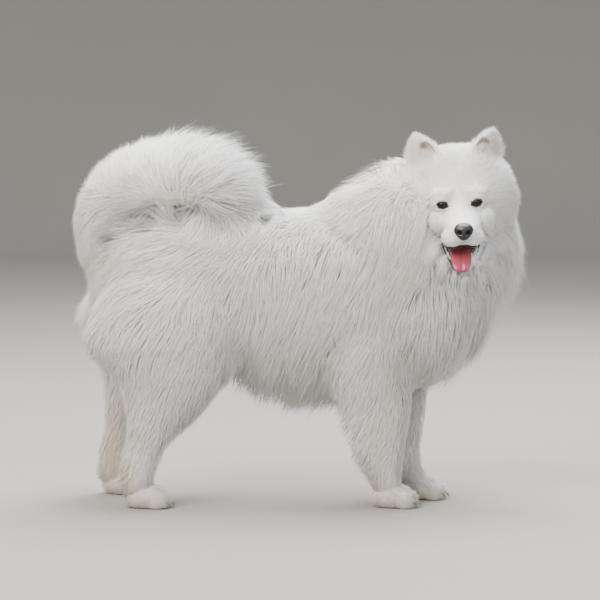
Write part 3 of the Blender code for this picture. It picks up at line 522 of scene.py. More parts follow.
def markings(points):
    """Linear colour of the fur at points of the model, in millimetres, with the painted shade and painted floor
    reflection that some marks carry.
    """
    colour = np.tile(WHITE_FUR, (len(points), 1))
    local = in_head(points)
    for marks, places in ((MARKS, points), (HEAD_MARKS, local)):
        for tint, strength, middle, sizes in marks:
            reach = (((places - np.array(middle)) / np.array(sizes)) ** 2).sum(1)
            weight = (strength * np.exp(-reach))[:, None]
            colour = colour * (1 - weight) + tint * weight
    low = np.clip((75 - points[:, 2:3]) / 75, 0, 1) * 0.5
    # painted shade in the lines between the toes, mixed towards dark brown-grey below
    groove = painted_toe_gap_shade(points)[:, None] * 0.6
    colour = colour * (1 - low) + FOOT_STAIN * low
    return colour * (1 - groove) + linear("#7D6E5A") * groove


# %% [markdown]
# Fur is a keratin fibre: clear where it is white, so light scatters in it and little of it is mirror-like.
# A Principled shader with a pale colour, a rough surface and some sheen gives that at this scale. The
# colour comes from the marking painted on the points, broken by a noise of 14 mm patches and one of 3 mm.

# %% Fur and skin materials
def furry(name, roughness, sheen, bump, through=0.0):
    made, tree, shader = new_material(
        name, Roughness=roughness, Sheen_Weight=sheen, Sheen_Roughness=0.5, Specular_IOR_Level=0.25,
        Subsurface_Weight=through, Subsurface_Radius=(1.0, 0.96, 0.92), Subsurface_Scale=0.006
    )
    marking = add_node(tree, "ShaderNodeAttribute", attribute_name="marking")
    place = add_node(tree, "ShaderNodeTexCoord")
    patches = add_node(
        tree, "ShaderNodeTexNoise", {"Vector": place.outputs["Object"], "Scale": 1 / 0.014, "Detail": 3.0}
    )
    shade = add_node(
        tree, "ShaderNodeMapRange", {"Value": patches.outputs["Fac"], "To Min": 0.95, "To Max": 1.03}
    )
    toned = add_node(
        tree, "ShaderNodeVectorMath", {0: marking.outputs["Color"], 1: shade.outputs["Result"]}, operation="MULTIPLY"
    )
    tree.links.new(toned.outputs["Vector"], shader.inputs["Base Color"])
    fine = add_node(
        tree, "ShaderNodeTexNoise", {"Vector": place.outputs["Object"], "Scale": 1 / 0.003, "Detail": 2.0}
    )
    relief = add_node(
        tree, "ShaderNodeBump", {"Height": fine.outputs["Fac"], "Strength": bump, "Distance": 0.0015}
    )
    tree.links.new(relief.outputs["Normal"], shader.inputs["Normal"])
    return made


coat_finish = furry("guard_hair_white", 0.72, 0.25, 0.15, 0.2)
short_finish = furry("short_face_fur_white", 0.78, 0.25, 0.2)
skin_finish = furry("undercoat_white", 0.9, 0.2, 0.9)
print("materials:", [made.name for made in (coat_finish, short_finish, skin_finish)])


# %% Put the skin in the scene
EAR_PINK = linear("#D9A792")


def paint(obj, colours):
    """The point colours of a piece, which its material reads by the name marking."""
    layer = obj.data.attributes.new("marking", "FLOAT_COLOR", "POINT")
    layer.data.foreach_set("color", np.column_stack([colours, np.ones(len(colours))]).astype(np.float32).ravel())


def eye_distance(points, wide, tall):
    """Distance from the nearer eye's axis as seen from the front, 1 on the rim of the slanted oval."""
    local = in_head(points)
    nearest = np.full(points.shape[:-1], 9.0)
    for sign in (-1, 1):
        x, z = local[..., 0] - (sign * EYE_X + EYE_SHIFT), local[..., 2] - EYE_Z
        slant = math.radians(EYE_SLANT) * sign
        across, tall_way = x * math.cos(slant) + z * math.sin(slant), z * math.cos(slant) - x * math.sin(slant)
        pointed = 1 - 0.45 * np.clip(across / wide, -1, 1) ** 2
        apart = np.sqrt((across / wide) ** 2 + (tall_way / tall / pointed) ** 2)
        nearest = np.where((local[..., 1] < 20) & (apart < nearest), apart, nearest)
    return nearest


skin = put_mesh("skin", skin_points, skin_faces.tolist(), skin_finish)
skin_colours = markings(skin_points) * 0.9
in_cup = cup_right | cup_left
skin_colours[in_cup] = EAR_PINK
skin_colours[eye_distance(skin_points, 13.0, 8.4) < 1] = linear("#1B1716")
paint(skin, skin_colours)
outwards(skin)
flesh = [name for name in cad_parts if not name.startswith(("claw", "eye", "nose", "tongue"))]
ride(skin, "coat", *flesh)
print("the skin stands for", len(flesh), "nodes")

# %% [markdown]
# The outside of the coat is one closed surface too, melted from the same limbs at their full coat. Round
# forms fill the places where real hair bridges a notch: behind the thighs, between the tail's root and
# the croup, and where the plume's end rests on the back.

# %% The outside of the coat
COAT_VOXEL = 6.5
BRIDGES = [  # middle and radii, in the limbs' axes
    ((-362, 0, 440), (62, 76, 92)),
    ((-335, -10, 540), (56, 78, 44)),
    ((-262, -10, 556), (74, 86, 34)),
    ((-120, -30, 594), (72, 62, 30)),
    ((272, 0, 298), (64, 88, 60)),
]
LIMBS = {"trunk": torso, "neck": neck, "tail": tail, "head": head, "jaw": jaw}
LIMBS.update({f"foreleg_{side}": limb for side, limb in forelegs.items()})
LIMBS.update({f"hindleg_{side}": limb for side, limb in hindlegs.items()})
LIMBS.update({f"ear_{side}": limb for side, limb in ears.items()})


def coat_shapes():
    shapes = [limb.rings(1.07 if limb is neck else 1.0, 48, 44) for limb in LIMBS.values()]
    for middle, radii in FACE_FORMS:
        for sign in (-1, 1):
            wider = np.array(radii) + 3
            shapes.append(on_head(ellipsoid((sign * middle[0] + FACE_MIDDLE, *middle[1:]), wider, 16, 24)))
    return shapes + [ellipsoid(middle, radii, 24, 32) + CENTRE_SHIFT for middle, radii in BRIDGES]


def melt(values, faces, rounds):
    """Each round gives every point of a mesh the mean of the faces round it."""
    count, corners = len(values), faces.ravel()
    uses = np.bincount(corners, minlength=count)[:, None]
    for _ in range(rounds):
        middle = np.repeat(values[faces].mean(1), faces.shape[1], axis=0)
        values = np.stack([np.bincount(corners, column, count) for column in middle.T], 1) / uses
    return values


def place_on(limb, spots, share):
    """Where on a limb the places lie: along the rows, the angle, the way along, and the distance off its surface."""
    local = (spots - CENTRE_SHIFT - limb.place[:3, 3]) @ limb.place[:3, :3]
    trial = np.linspace(0, limb.last, 5 * limb.last + 1)
    table, along, side, up = limb.frame(trial)
    middle = table[:, :3] + along * table[:, 9:10] * share
    near = np.argmin(((local[:, None] - middle[None]) ** 2).sum(-1), 1)
    apart = local - middle[near]
    pitch = np.linalg.norm(np.gradient(middle, axis=0), axis=1)[near]
    at = np.clip(trial[near] + (apart * along[near]).sum(-1) / pitch * 0.2, 0, limb.last)
    angle = np.arctan2((apart * up[near]).sum(-1), (apart * side[near]).sum(-1)) % (2 * math.pi)
    gap = np.linalg.norm(local - limb.points(at, angle, share), axis=-1)
    return at, angle, along[near], gap, local


def shared_out(spots, share):
    """For each place the number of the limb whose surface is nearest, with its place on every limb."""
    places = [place_on(limb, spots, share) for limb in LIMBS.values()]
    return np.argmin(np.stack([place[3] for place in places]), 0), places


coat_points, coat_faces = remeshed(draft_of(coat_shapes()), COAT_VOXEL, 10)
corner = coat_points[coat_faces]
face_normal = unit(np.cross(corner[:, 2] - corner[:, 0], corner[:, 3] - corner[:, 1]))
uses = np.stack([np.bincount(coat_faces.ravel(), np.repeat(column, 4), len(coat_points)) for column in face_normal.T], 1)
coat_normals = unit(melt(unit(uses), coat_faces, 4))
coat_tree = BVHTree.FromPolygons(coat_points.tolist(), coat_faces.tolist())
print("outside of the coat:", len(coat_faces), "quads", round(time.time() - started, 1), "s")

# %% [markdown]
# The lie of the coat is a field on that surface. Each limb has its own rule for the way, the length in
# millimetres and how far the tips may stand out. The rules are then melted into each other, so that the
# hair runs on without a seam where the trunk meets the legs, the neck and the tail.

# %% The lie of the coat
FAN = np.array([-228.0, 0.0, 535.0])  # the middle of the tail's bow, from which its hair fans out


def trunk_way(points, along, outward):
    """Down and a little back on the flanks, and swept back from the croup over the thighs."""
    croup = np.exp(-((points[:, 0:1] + 300) / 120) ** 2) * np.clip((points[:, 2:3] - 330) / 150, 0, 1)
    return np.array([-0.33, 0, -1.0]) + croup * np.array([-0.9, 0, 0.3])


def neck_way(points, along, outward):
    """Down at the throat and sides, and back over the nape, where the outward way points backwards."""
    crest = np.clip(-outward[:, 0] * 0.9, 0, 1)
    return np.column_stack([-0.25 - 0.8 * crest, np.zeros(len(points)), -1 + 0.35 * crest])


def tail_way(points, along, outward):
    """A fan from the middle of the bow; it sinks on the rump's side and follows the tail at its end."""
    fan = unit((points - FAN) * np.array([1, 0, 1]))
    sink = np.clip((-270 - points[:, 0:1]) / 90, 0, 1) * np.clip((660 - points[:, 2:3]) / 90, 0, 1)
    onward = np.clip((points[:, 0:1] + 260) / 120, 0, 1)
    return fan + sink * np.array([-0.25, 0, -1.0]) + along * (0.25 + 0.9 * onward)


def head_way(points, along, outward):
    """In the head's axes: back from the nose, and out and down over the cheeks."""
    cheek = np.clip((np.abs(points[:, 0]) - 18) / 40, 0, 1) * np.clip((30 - points[:, 2]) / 50, 0, 1)
    side = np.sign(points[:, 0])
    return np.column_stack([side * (0.12 + 0.5 * cheek), 1 - 0.35 * cheek, -0.1 - 0.75 * cheek])


def leg_way(points, along, outward):
    return np.broadcast_to(np.array([-0.45, 0, -1.0]), points.shape)


def by_rows(ats, values):
    """A value that changes along the limb's rows."""
    return lambda at, outward: np.interp(at, ats, values)


def trunk_loft(at, outward):
    """The belly's fringe hangs free; the flanks lie close."""
    return 0.12 + 0.55 * np.clip(-outward[:, 2] - 0.2, 0, 1)


RULES = {  # way, length in millimetres, how far tips stand out where the way points outwards
    "trunk": (trunk_way, by_rows([0, 8], [78, 70]), trunk_loft),
    "neck": (neck_way, by_rows([0, 5], [92, 96]), by_rows([0, 5], [0.2, 0.2])),
    "tail": (tail_way, by_rows([0, 3, 6, 8], [105, 92, 80, 70]), by_rows([0, 3, 4.5, 6, 8], [0.02, 0.03, 0.12, 0.4, 0.45])),
    "head": (head_way, by_rows([0, 2, 3, 4, 5, 9], [70, 66, 50, 26, 12, 8]), by_rows([0, 9], [0.05, 0.0])),
    "jaw": (head_way, by_rows([0, 1, 4], [48, 28, 8]), by_rows([0, 4], [0, 0])),
    "foreleg": (leg_way, by_rows([0, 2, 4, 7], [60, 48, 34, 16]), by_rows([0, 7], [0.1, 0.3])),
    "hindleg": (leg_way, by_rows([0, 3, 4.5, 6, 9], [76, 76, 48, 26, 14]), by_rows([0, 9], [0.2, 0.3])),
    "ear": (head_way, by_rows([0, 4], [20, 8]), by_rows([0, 4], [0, 0])),
}


TRIMS = [  # middle and sizes in the limbs' axes, and how much it adds to the tips' share of the coat
    ((-415, 0, 560), (55, 200, 90), -0.16),
    ((-355, 0, 665), (110, 200, 60), -0.24),
    ((190, 0, 640), (75, 200, 60), -0.30),
]


def lay_of_the_coat():
    """Columns by point of the coat: outward way, the hair's way, its length, its loft and its trim."""
    owner, places = shared_out(coat_points, 1.0)
    fields = np.zeros((len(coat_points), 9))
    fields[:, :3] = coat_normals
    for number, (key, limb) in enumerate(LIMBS.items()):
        way, length, loft = RULES[key.split("_")[0]]
        at, _, along, _, local = (column[owner == number] for column in places[number])
        turn = limb.place[:3, :3]
        ways = unit(way(local, along, coat_normals[owner == number] @ turn)) @ turn.T
        fields[owner == number, 3:6] = ways
        fields[owner == number, 6] = length(at, coat_normals[owner == number])
        fields[owner == number, 7] = loft(at, coat_normals[owner == number])
        print(key, int((owner == number).sum()), "points")
    fields[:, 3:] = melt(fields[:, 3:], coat_faces, 25)
    for middle, sizes, change in TRIMS:
        apart = (coat_points - CENTRE_SHIFT - np.array(middle)) / np.array(sizes)
        fields[:, 8] += change * np.exp(-(apart**2).sum(1))
    return fields


coat_fields = lay_of_the_coat()


def wander(points, size, seed):
    """A smooth field of directions: the mean of six sines of the place, with seeded ways and phases."""
    rng = np.random.default_rng(seed)
    waves = rng.normal(size=(3, 6)) * (2 * math.pi / size / 1.7)
    phases = rng.uniform(0, 2 * math.pi, (6, 3))
    return np.sin((points @ waves)[:, :, None] + phases).mean(1) * 2.4


def nearest_on(tree, spots):
    """The nearest places on a surface, and the faces they lie in."""
    found = [tree.find_nearest(spot) for spot in spots.tolist()]
    return np.array([hit[0] for hit in found]), np.array([hit[2] for hit in found])


# %% [markdown]
# Hair on the model is solid: a tuft is a thin three-sided spike. Its root is sunk in the skin. Its path
# walks over the outside of the coat, along the field, for the length of the hair; its middle and tip
# then lie a share of the way from the skin out to that path.

# %% Comb the tufts
quads = skin_points[skin_faces]
quad_middle = quads.mean(1)
quad_cross = np.cross(quads[:, 2] - quads[:, 0], quads[:, 3] - quads[:, 1])
quad_area = np.linalg.norm(quad_cross, axis=1) / 2
quad_normal = unit(quad_cross)


def draw_roots(weight, spacing, rng):
    """An even draw of the skin's faces by area and weight, each with a random place in its face."""
    total = np.cumsum(quad_area * weight)
    count = int(total[-1] / spacing**2)
    picks = np.searchsorted(total, (np.arange(count) + rng.random(count)) / count * total[-1])
    picks = np.minimum(picks, len(quads) - 1)
    s, t = rng.random((2, count, 1))
    a, b, c, d = (quads[picks, k] for k in range(4))
    return (a * (1 - s) + b * s) * (1 - t) + (d * (1 - s) + c * s) * t, quad_normal[picks], picks


def comb(roots, normal, tips, seed, stray, drift, longer=1.0, steps=4):
    """Root, middle and tip of each tuft, the outward ways there, and which of them run true."""
    rng = np.random.default_rng(seed)
    count = len(roots)
    own = rng.normal(size=(count, 3)) * stray
    spot, face = nearest_on(coat_tree, roots + normal * 8)
    field = coat_fields[coat_faces[face]].mean(1)
    reach = field[:, 6] * rng.uniform(0.75, 1.15, count) * longer
    path, outward, lift = [spot], [unit(field[:, :3])], np.zeros(count)
    for step in range(steps):
        over = outward[-1]
        way = unit(field[:, 3:6]) + own + wander(spot, 90, seed) * drift
        rise = (way * over).sum(-1)
        way = way - over * rise[:, None]
        size = np.maximum(np.linalg.norm(way, axis=-1), 0.6)
        spot, face = nearest_on(coat_tree, spot + way * (reach / steps / size)[:, None])
        field = coat_fields[coat_faces[face]].mean(1)
        lift += np.clip(rise, 0, 1) / steps * field[:, 7]
        path.append(spot)
        outward.append(unit(field[:, :3]))
    lift = lift * rng.uniform(0.5, 1.7, count)
    share = (tips[1] - (tips[1] - tips[0]) * rng.random(count) ** 1.5 + lift) * (1 + field[:, 8])
    share = share + (0.3 + 0.28 * (field[:, 7] > 0.25)) * rng.random(count) ** 9
    middle, tip = path[steps // 2], path[steps]
    under_middle, under_tip = nearest_on(skin_tree, middle)[0], nearest_on(skin_tree, tip)[0]
    middle = under_middle + (middle - under_middle) * (0.12 + 0.56 * share)[:, None]
    tip = under_tip + (tip - under_tip) * share[:, None]
    depth = np.linalg.norm(path[0] - roots, axis=1)
    forward = ((middle - roots) * (tip - middle)).sum(1) > 0
    true = (np.linalg.norm(tip - roots, axis=1) < reach + depth + 12) & forward & (depth < 170)
    lines = np.stack([roots - normal, middle, tip], 1)
    return lines, np.stack([outward[0], outward[steps // 2], outward[steps]], 1), true


# %% [markdown]
# Real coats part into pointed locks because neighbouring hairs cling. Every tuft is drawn to a leader:
# the nearest of a few tufts, more strongly towards the tip. Done twice, with far and near leaders, it
# gives locks that are split again at their ends.

# %% Gather the tufts into locks
def gather(lines, spacing, pull, seed):
    """line + pull * u^1.6 * (leader's line - line), with leaders about one spacing apart."""
    roots = lines[:, 0]
    rng = np.random.default_rng(seed)
    order = rng.permutation(len(roots))
    cells = np.floor(roots[order] / spacing).astype(int)
    first = np.unique(cells, axis=0, return_index=True)[1]
    leaders = order[first]
    nearest = np.zeros(len(roots), int)
    for low in range(0, len(roots), 4000):
        gap = roots[low:low + 4000, None] - roots[leaders][None]
        nearest[low:low + 4000] = np.argmin((gap**2).sum(-1), axis=1)
    u = np.linspace(0, 1, lines.shape[1])[None, :, None]
    return lines + pull * u**1.6 * (lines[leaders[nearest]] - lines)


# %% Make the tufts' mesh
CORNERS = np.array([(-1.0, -0.35), (1.0, -0.35), (0.0, 0.7)])  # of a tuft's cross-section: side, lift
PATCH = 0.003  # size of a tuft on the UV map


def tuft_mesh(name, lines, outward, half_width, colours, places, finish, taper=(0.9, 0.85), soft=0.8, flat=1.0):
    """Spikes along the lines: three corners round each place but the last, and a point at the tip.

    Corner = line + half width * taper * (side way * corner's side + lift way * corner's lift).
    """
    count, steps = lines.shape[:2]
    way = unit(np.gradient(lines, axis=1))
    side = unit(np.cross(outward, way))
    lift = np.cross(way, side)
    wide = half_width[:, None] * np.array(taper[:steps - 1])[None, :]
    arms = side[:, :-1, None] * CORNERS[:, 0, None] + lift[:, :-1, None] * CORNERS[:, 1, None] * flat
    rings = lines[:, :-1, None] + arms * wide[:, :, None, None]
    corners = 3 * (steps - 1)
    points = np.concatenate([rings.reshape(count, corners, 3), lines[:, -1:]], 1)
    lean = np.concatenate([unit(arms).reshape(count, corners, 3), way[:, -1:]], 1)
    over = np.concatenate([np.repeat(outward[:, :-1], 3, 1), outward[:, -1:]], 1)
    normals = unit(over * soft + lean * (1 - soft))
    template = []
    for ring in range(steps - 2):
        for k in range(3):
            low, after = ring * 3 + k, ring * 3 + (k + 1) % 3
            template += [(low, after, after + 3), (low, after + 3, low + 3)]
    last = corners - 3
    template += [(last, last + 1, corners), (last + 1, last + 2, corners), (last + 2, last, corners), (0, 2, 1)]
    template = np.array(template)
    faces = (np.arange(count)[:, None, None] * (corners + 1) + template[None]).reshape(-1, 3)
    mesh = bpy.data.meshes.new(name)
    mesh.vertices.add(count * (corners + 1))
    mesh.vertices.foreach_set("co", (points.reshape(-1, 3) * MM).astype(np.float32).ravel())
    mesh.loops.add(len(faces) * 3)
    mesh.loops.foreach_set("vertex_index", faces.astype(np.int32).ravel())
    mesh.polygons.add(len(faces))
    mesh.polygons.foreach_set("loop_start", np.arange(0, len(faces) * 3, 3, dtype=np.int32))
    mesh.polygons.foreach_set("use_smooth", np.ones(len(faces), bool))
    mesh.update(calc_edges=True)
    along = np.concatenate([np.repeat(np.linspace(0, 1, steps)[:-1], 3), [1.0]])
    across = np.concatenate([np.tile([0.0, 0.5, 1.0], steps - 1), [0.5]])
    spread = np.column_stack([across, along]) * PATCH
    baked = (places[:, None, :] * (1 - PATCH) + spread[None]).reshape(-1, 2)
    layer = mesh.uv_layers.new(name="OFBake")
    layer.data.foreach_set("uv", baked[faces.ravel()].astype(np.float32).ravel())
    shade = np.clip(0.94 + 0.08 * along, 0, 1.02)
    tone = np.random.default_rng(len(name)).uniform(0.88, 1.02, (count, 1, 1))
    tinted = np.clip(colours[:, None, :] * shade[None, :, None] * tone, 0, 0.97)
    made = bpy.data.objects.new(name, mesh)
    bpy.context.scene.collection.objects.link(made)
    paint(made, tinted.reshape(-1, 3))
    mesh.normals_split_custom_set_from_vertices(normals.reshape(-1, 3))
    mesh.materials.append(finish)
    return made


# %% Grow the coat
skin_owner, skin_places = shared_out(quad_middle, SKIN_SHARE)
quad_depth = np.linalg.norm(nearest_on(coat_tree, quad_middle)[0] - quad_middle, axis=1)
SPACING = {"trunk": 3.75, "neck": 2.3, "tail": 2.2, "head": 2.0, "foreleg": 3.3, "hindleg": 3.6}
WIDTH = {"trunk": 0.52, "neck": 0.46, "tail": 0.48, "head": 0.45, "foreleg": 0.5, "hindleg": 0.52}


def root_weight(key):
    """More on the limb's own skin where the coat is deep; the head's ends before the eyes, a leg's at the paw."""
    kind = key.split("_")[0]
    mine = skin_owner == list(LIMBS).index(key)
    if kind == "head":
        mine |= skin_owner == list(LIMBS).index("jaw")
    weight = mine * (0.55 + quad_depth / 75)
    if kind == "head":
        weight *= np.clip((in_head(quad_middle)[:, 1] + 12) / 12, 0, 1)
    if kind.endswith("leg"):
        weight *= np.clip((quad_middle[:, 2] - 16) / 16, 0, 1)
    return weight


def grow(name, key, seed, spacing, width, half=0, tips=(0.84, 1.03), locks=((34, 0.2), (12, 0.25)), soft=0.8,
         flat=0.9, longer=1.0, straight=False):
    """One piece of the coat: roots on one limb's skin, or on its left (1) or right (-1) half."""
    rng = np.random.default_rng(seed)
    weight = root_weight(key)
    if half:
        weight = weight * ((quad_middle[:, 1] - CENTRE_SHIFT[1]) * half > 0)
    roots, normal, picks = draw_roots(weight, spacing, rng)
    lines, outward, true = comb(roots, normal, tips, seed, 0.14, 0.2, longer)
    lines, outward, picks = lines[true], outward[true], picks[true]
    for spread, pull in locks:
        lines = gather(lines, spread, pull, seed + int(spread))
    lines[:, :, 2] = np.maximum(lines[:, :, 2], 1.0)
    if straight:
        lines, outward = lines[:, ::2], outward[:, ::2]
    number = list(LIMBS).index(key)
    at, angle = (skin_places[number][k][picks] for k in (0, 1))
    places = np.column_stack([at / LIMBS[key].last, angle / (2 * math.pi)])
    places = np.clip(places + rng.uniform(-0.004, 0.004, places.shape), 0, 1)
    widths = width * rng.uniform(0.75, 1.2, len(lines))
    made = tuft_mesh(name, lines, outward, widths, markings(lines[:, 1]), places, coat_finish, soft=soft, flat=flat)
    ride(made, "coat")
    print(name, len(lines), "tufts", len(made.data.polygons), "faces", round(time.time() - started, 1), "s")


COATS = {"trunk": ((1, "left"), (-1, "right")), "neck": ((1, "left"), (-1, "right")), "tail": ((1, "left"), (-1, "right"))}
for number, key in enumerate(LIMBS):
    kind = key.split("_")[0]
    if kind not in SPACING:
        continue
    for half, side in COATS.get(kind, ((0, "whole"),)):
        name = f"{key}_{side}" if half else key
        grow(f"coat_{name}", key, 21 + number + 20 * half, SPACING[kind], WIDTH[kind], half)
    grow(f"undercoat_{key}", key, 51 + number, SPACING[kind] * 1.6, 2.3, tips=(0.5, 0.82), locks=(), soft=0.94,
         flat=0.35, longer=0.8, straight=True)


# %% [markdown]
# Face, ears and paws carry fur too short for a combed limb. These tufts are rooted on the skin itself: a face
# of the skin is drawn by its area, a place on it at random, and the tuft leaves it at a low angle and
# bends back down, so that it lies on the surface.

# %% Short fur
def short_fur(name, weight, spacing, flow, length, lean, width, seed, unwrap, keep=None, stray=0.22,
              locks=((9, 0.3),), finish=None):
    """Tuft = root + length * (u cos(lean) * way + (u - u^2 / 3) sin(lean) * outward), u from 0 to 1."""
    rng = np.random.default_rng(seed)
    base, normal, _ = draw_roots(weight(quad_middle, quad_normal), spacing, rng)
    count = len(base)
    way = unit(flow(base, normal)) + rng.normal(size=(count, 3)) * stray + wander(base, 40, seed) * 0.15
    way = unit(way - normal * (way * normal).sum(1, keepdims=True))
    reach = (length(base, normal) * rng.uniform(0.75, 1.2, count))[:, None, None]
    angle = np.radians(lean * rng.uniform(0.6, 1.5, count))[:, None, None]
    u = np.array([0.0, 0.5, 1.0])[None, :, None]
    rise = (u - u**2 / 3) * np.sin(angle) * normal[:, None]
    lines = base[:, None] - normal[:, None] * 0.8 + reach * (u * np.cos(angle) * way[:, None] + rise)
    for spread, pull in locks:
        lines = gather(lines, spread, pull, seed)
    lines[:, :, 2] = np.maximum(lines[:, :, 2], 0.6)
    kept = np.ones(count, bool) if keep is None else keep(lines)
    lines, outward = lines[kept][:, ::2], np.repeat(normal[kept][:, None], 2, 1)
    half = width * rng.uniform(0.75, 1.25, kept.sum())
    colours = markings(lines[:, 1])
    made = tuft_mesh(name, lines, outward, half, colours, unwrap(base[kept]), finish or short_finish, (0.9, 0.75), 0.8)
    ride(made, "coat")
    print(name, len(lines), "tufts", len(made.data.polygons), "faces", round(time.time() - started, 1), "s")
    return made


def face_weight(points, normal):
    """1 on the muzzle and jaw, fading out over the brow and cheeks, 0 at the eyes, mouth and nose."""
    local = in_head(points)
    face = np.clip((26 - local[:, 1]) / 26, 0, 1) * (np.abs(local[:, 0]) < 75) * (local[:, 2] > -125) * (local[:, 2] < 70)
    clear = np.clip((eye_distance(points, 12.5, 8.0) - 1) * 4, 0, 1)
    nose = np.linalg.norm((local - np.array([-2, -104, -38])) / np.array([17, 14, 15]), axis=1) > 1
    mouth = np.abs(local[:, 0] + 4) < 30 - 0.2 * np.abs(local[:, 2] + 66)
    inside = mouth & (normal[:, 2] < -0.35) & (local[:, 2] > -82) & (local[:, 2] < -60) & (np.abs(local[:, 0] + 4) < 26)
    return face * clear * nose * ~inside


def face_flow(points, normal):
    """Back from the nose; up over the brow; out and down over the cheeks; down and back under the jaw."""
    local = in_head(points)
    side = np.sign(local[:, 0] + 2)
    cheek = np.clip((np.abs(local[:, 0]) - 14) / 30, 0, 1) * np.clip((0 - local[:, 2]) / 50, 0, 1)
    brow = np.clip((local[:, 2] + 8) / 25, 0, 1)
    way = np.column_stack([side * (0.25 + 0.8 * cheek + 0.2 * brow), 1 - 0.4 * cheek, -0.25 - 0.9 * cheek + 0.9 * brow])
    return way @ HEAD[:3, :3].T


def face_length(points, normal):
    local = in_head(points)
    return np.interp(local[:, 1], [-100, -70, -30, 0, 25], [4.5, 7, 10, 17, 26]) + 5 * (local[:, 2] < -80)


def face_unwrap(points):
    """Round the muzzle's axis: the angle one way, the depth the other."""
    local = in_head(points)
    turn = np.arctan2(local[:, 0] + 2, local[:, 2] + 55) / (2 * math.pi) + 0.5
    return np.column_stack([turn, np.clip((local[:, 1] + 110) / 140, 0, 1)])


def off_the_eyes(lines):
    """Leaves out the tufts whose middle or tip would cross an eye."""
    return (eye_distance(lines, 12.0, 7.6) > 1).all(1)


short_fur("fur_face", face_weight, 1.35, face_flow, face_length, 24, 0.5, 21, face_unwrap, off_the_eyes)


# %% Fur of the ears
def ear_weight(points, normal):
    local = in_head(points)
    high = np.clip((local[:, 2] - 58) / 15, 0, 1) * (np.abs(local[:, 0]) > 26)
    return high * np.where(in_cup_at(points), 0.0, 1.0)


def in_cup_at(points):
    """True just inside either cup."""
    found = np.zeros(len(points), bool)
    for sign in (-1, 1):
        centre, turn = cup_axes(sign)
        local = ((in_head(points) - centre) @ turn) / (CUP_RADII * 1.03)
        found |= (np.linalg.norm(local, axis=1) < 1) & (local[:, 2] > -0.75)
    return found


def ear_flow(points, normal):
    """Up towards the tip, and round the edge from the back to the front."""
    local = in_head(points)
    return np.column_stack([0.45 * np.sign(local[:, 0]), np.full(len(points), -0.1), np.ones(len(points))]) @ HEAD[:3, :3].T


def ear_length(points, normal):
    local = in_head(points)
    return np.interp(local[:, 2], [60, 90, 125], [36, 26, 15])


def ear_unwrap(points):
    local = in_head(points)
    side = np.where(local[:, 0] > 0, 0.5, 0.0)
    turn = np.arctan2(local[:, 1] - 58, np.abs(local[:, 0]) - 56) / (2 * math.pi) + 0.5
    return np.column_stack([side + turn * 0.49, np.clip((local[:, 2] - 50) / 90, 0, 1)])


short_fur("fur_ears", ear_weight, 1.8, ear_flow, ear_length, 36, 0.55, 22, ear_unwrap)


def cup_edge_weight(points, normal):
    """The inner edge and floor of each cup, where long soft hairs grow out over the opening."""
    local = in_head(points)
    inner = np.abs(local[:, 0]) < 56
    return in_cup_at(points) * (0.35 + 1.0 * inner) * (local[:, 2] > 60)


def cup_flow(points, normal):
    local = in_head(points)
    side = np.sign(local[:, 0])
    return np.column_stack([side * 0.6, np.full(len(points), -0.5), np.full(len(points), 0.7)]) @ HEAD[:3, :3].T


short_fur("fur_in_ears", cup_edge_weight, 2.3, cup_flow, lambda points, normal: np.full(len(points), 19.0), 48, 0.45,
          23, ear_unwrap, stray=0.35)


# %% Fur of the paws
def paw_weight(points, normal):
    return np.clip((62 - points[:, 2]) / 15, 0, 1) * (points[:, 2] > 4) * np.clip(normal[:, 2] + 0.9, 0, 1)


def paw_flow(points, normal):
    """Forwards over the toes and down."""
    return np.column_stack([np.full(len(points), 0.9), np.zeros(len(points)), np.full(len(points), -0.7)])


def paw_unwrap(points):
    """One column of the map for each paw, by its length and height."""
    middles = np.array([(x + 9.0, y + 21.5) for x, y in PAWS.values()])
    nearest = np.argmin(((points[:, None, :2] - middles[None]) ** 2).sum(-1), axis=1)
    turn = np.arctan2(points[:, 1] - middles[nearest, 1], points[:, 0] - middles[nearest, 0]) / (2 * math.pi) + 0.5
    return np.column_stack([(nearest + turn * 0.95) / 4, np.clip(points[:, 2] / 70, 0, 1)])


short_fur("fur_paws", paw_weight, 1.8, paw_flow, lambda points, normal: np.full(len(points), 15.0), 34, 0.5, 24, paw_unwrap)

# %% [markdown]
# An eye is a ball 23 mm across. The cornea stands out a little over the iris. The eye is nearly black from here:
# a dark brown iris round a wide pupil, under a coat of tears that gives one hard highlight.

# %% Eyes
def eye_material():
    made, tree, shader = new_material("wet_eye", Roughness=0.2, Specular_IOR_Level=0.2, Coat_Weight=0.2, Coat_Roughness=0.04)
    ring = add_node(tree, "ShaderNodeAttribute", attribute_name="iris")
    place = add_node(tree, "ShaderNodeTexCoord")
    fibre = add_node(tree, "ShaderNodeTexNoise", {"Vector": place.outputs["Object"], "Scale": 900.0, "Detail": 3.0})
    ramp = add_node(tree, "ShaderNodeValToRGB", {"Fac": ring.outputs["Fac"]})
    stops = [(0.0, "#050404"), (0.42, "#060504"), (0.50, "#170D07"), (0.86, "#100906"), (0.98, "#060505"), (1.0, "#2A2523")]
    elements = ramp.color_ramp.elements
    while len(elements) < len(stops):
        elements.new(0.5)
    for element, (place_on_ramp, colour) in zip(elements, stops):
        element.position, element.color = place_on_ramp, (*linear(colour), 1)
    shade = add_node(tree, "ShaderNodeMapRange", {"Value": fibre.outputs["Fac"], "To Min": 0.7, "To Max": 1.3})
    toned = add_node(
        tree, "ShaderNodeVectorMath", {0: ramp.outputs["Color"], 1: shade.outputs["Result"]}, operation="MULTIPLY"
    )
    tree.links.new(toned.outputs["Vector"], shader.inputs["Base Color"])
    return made


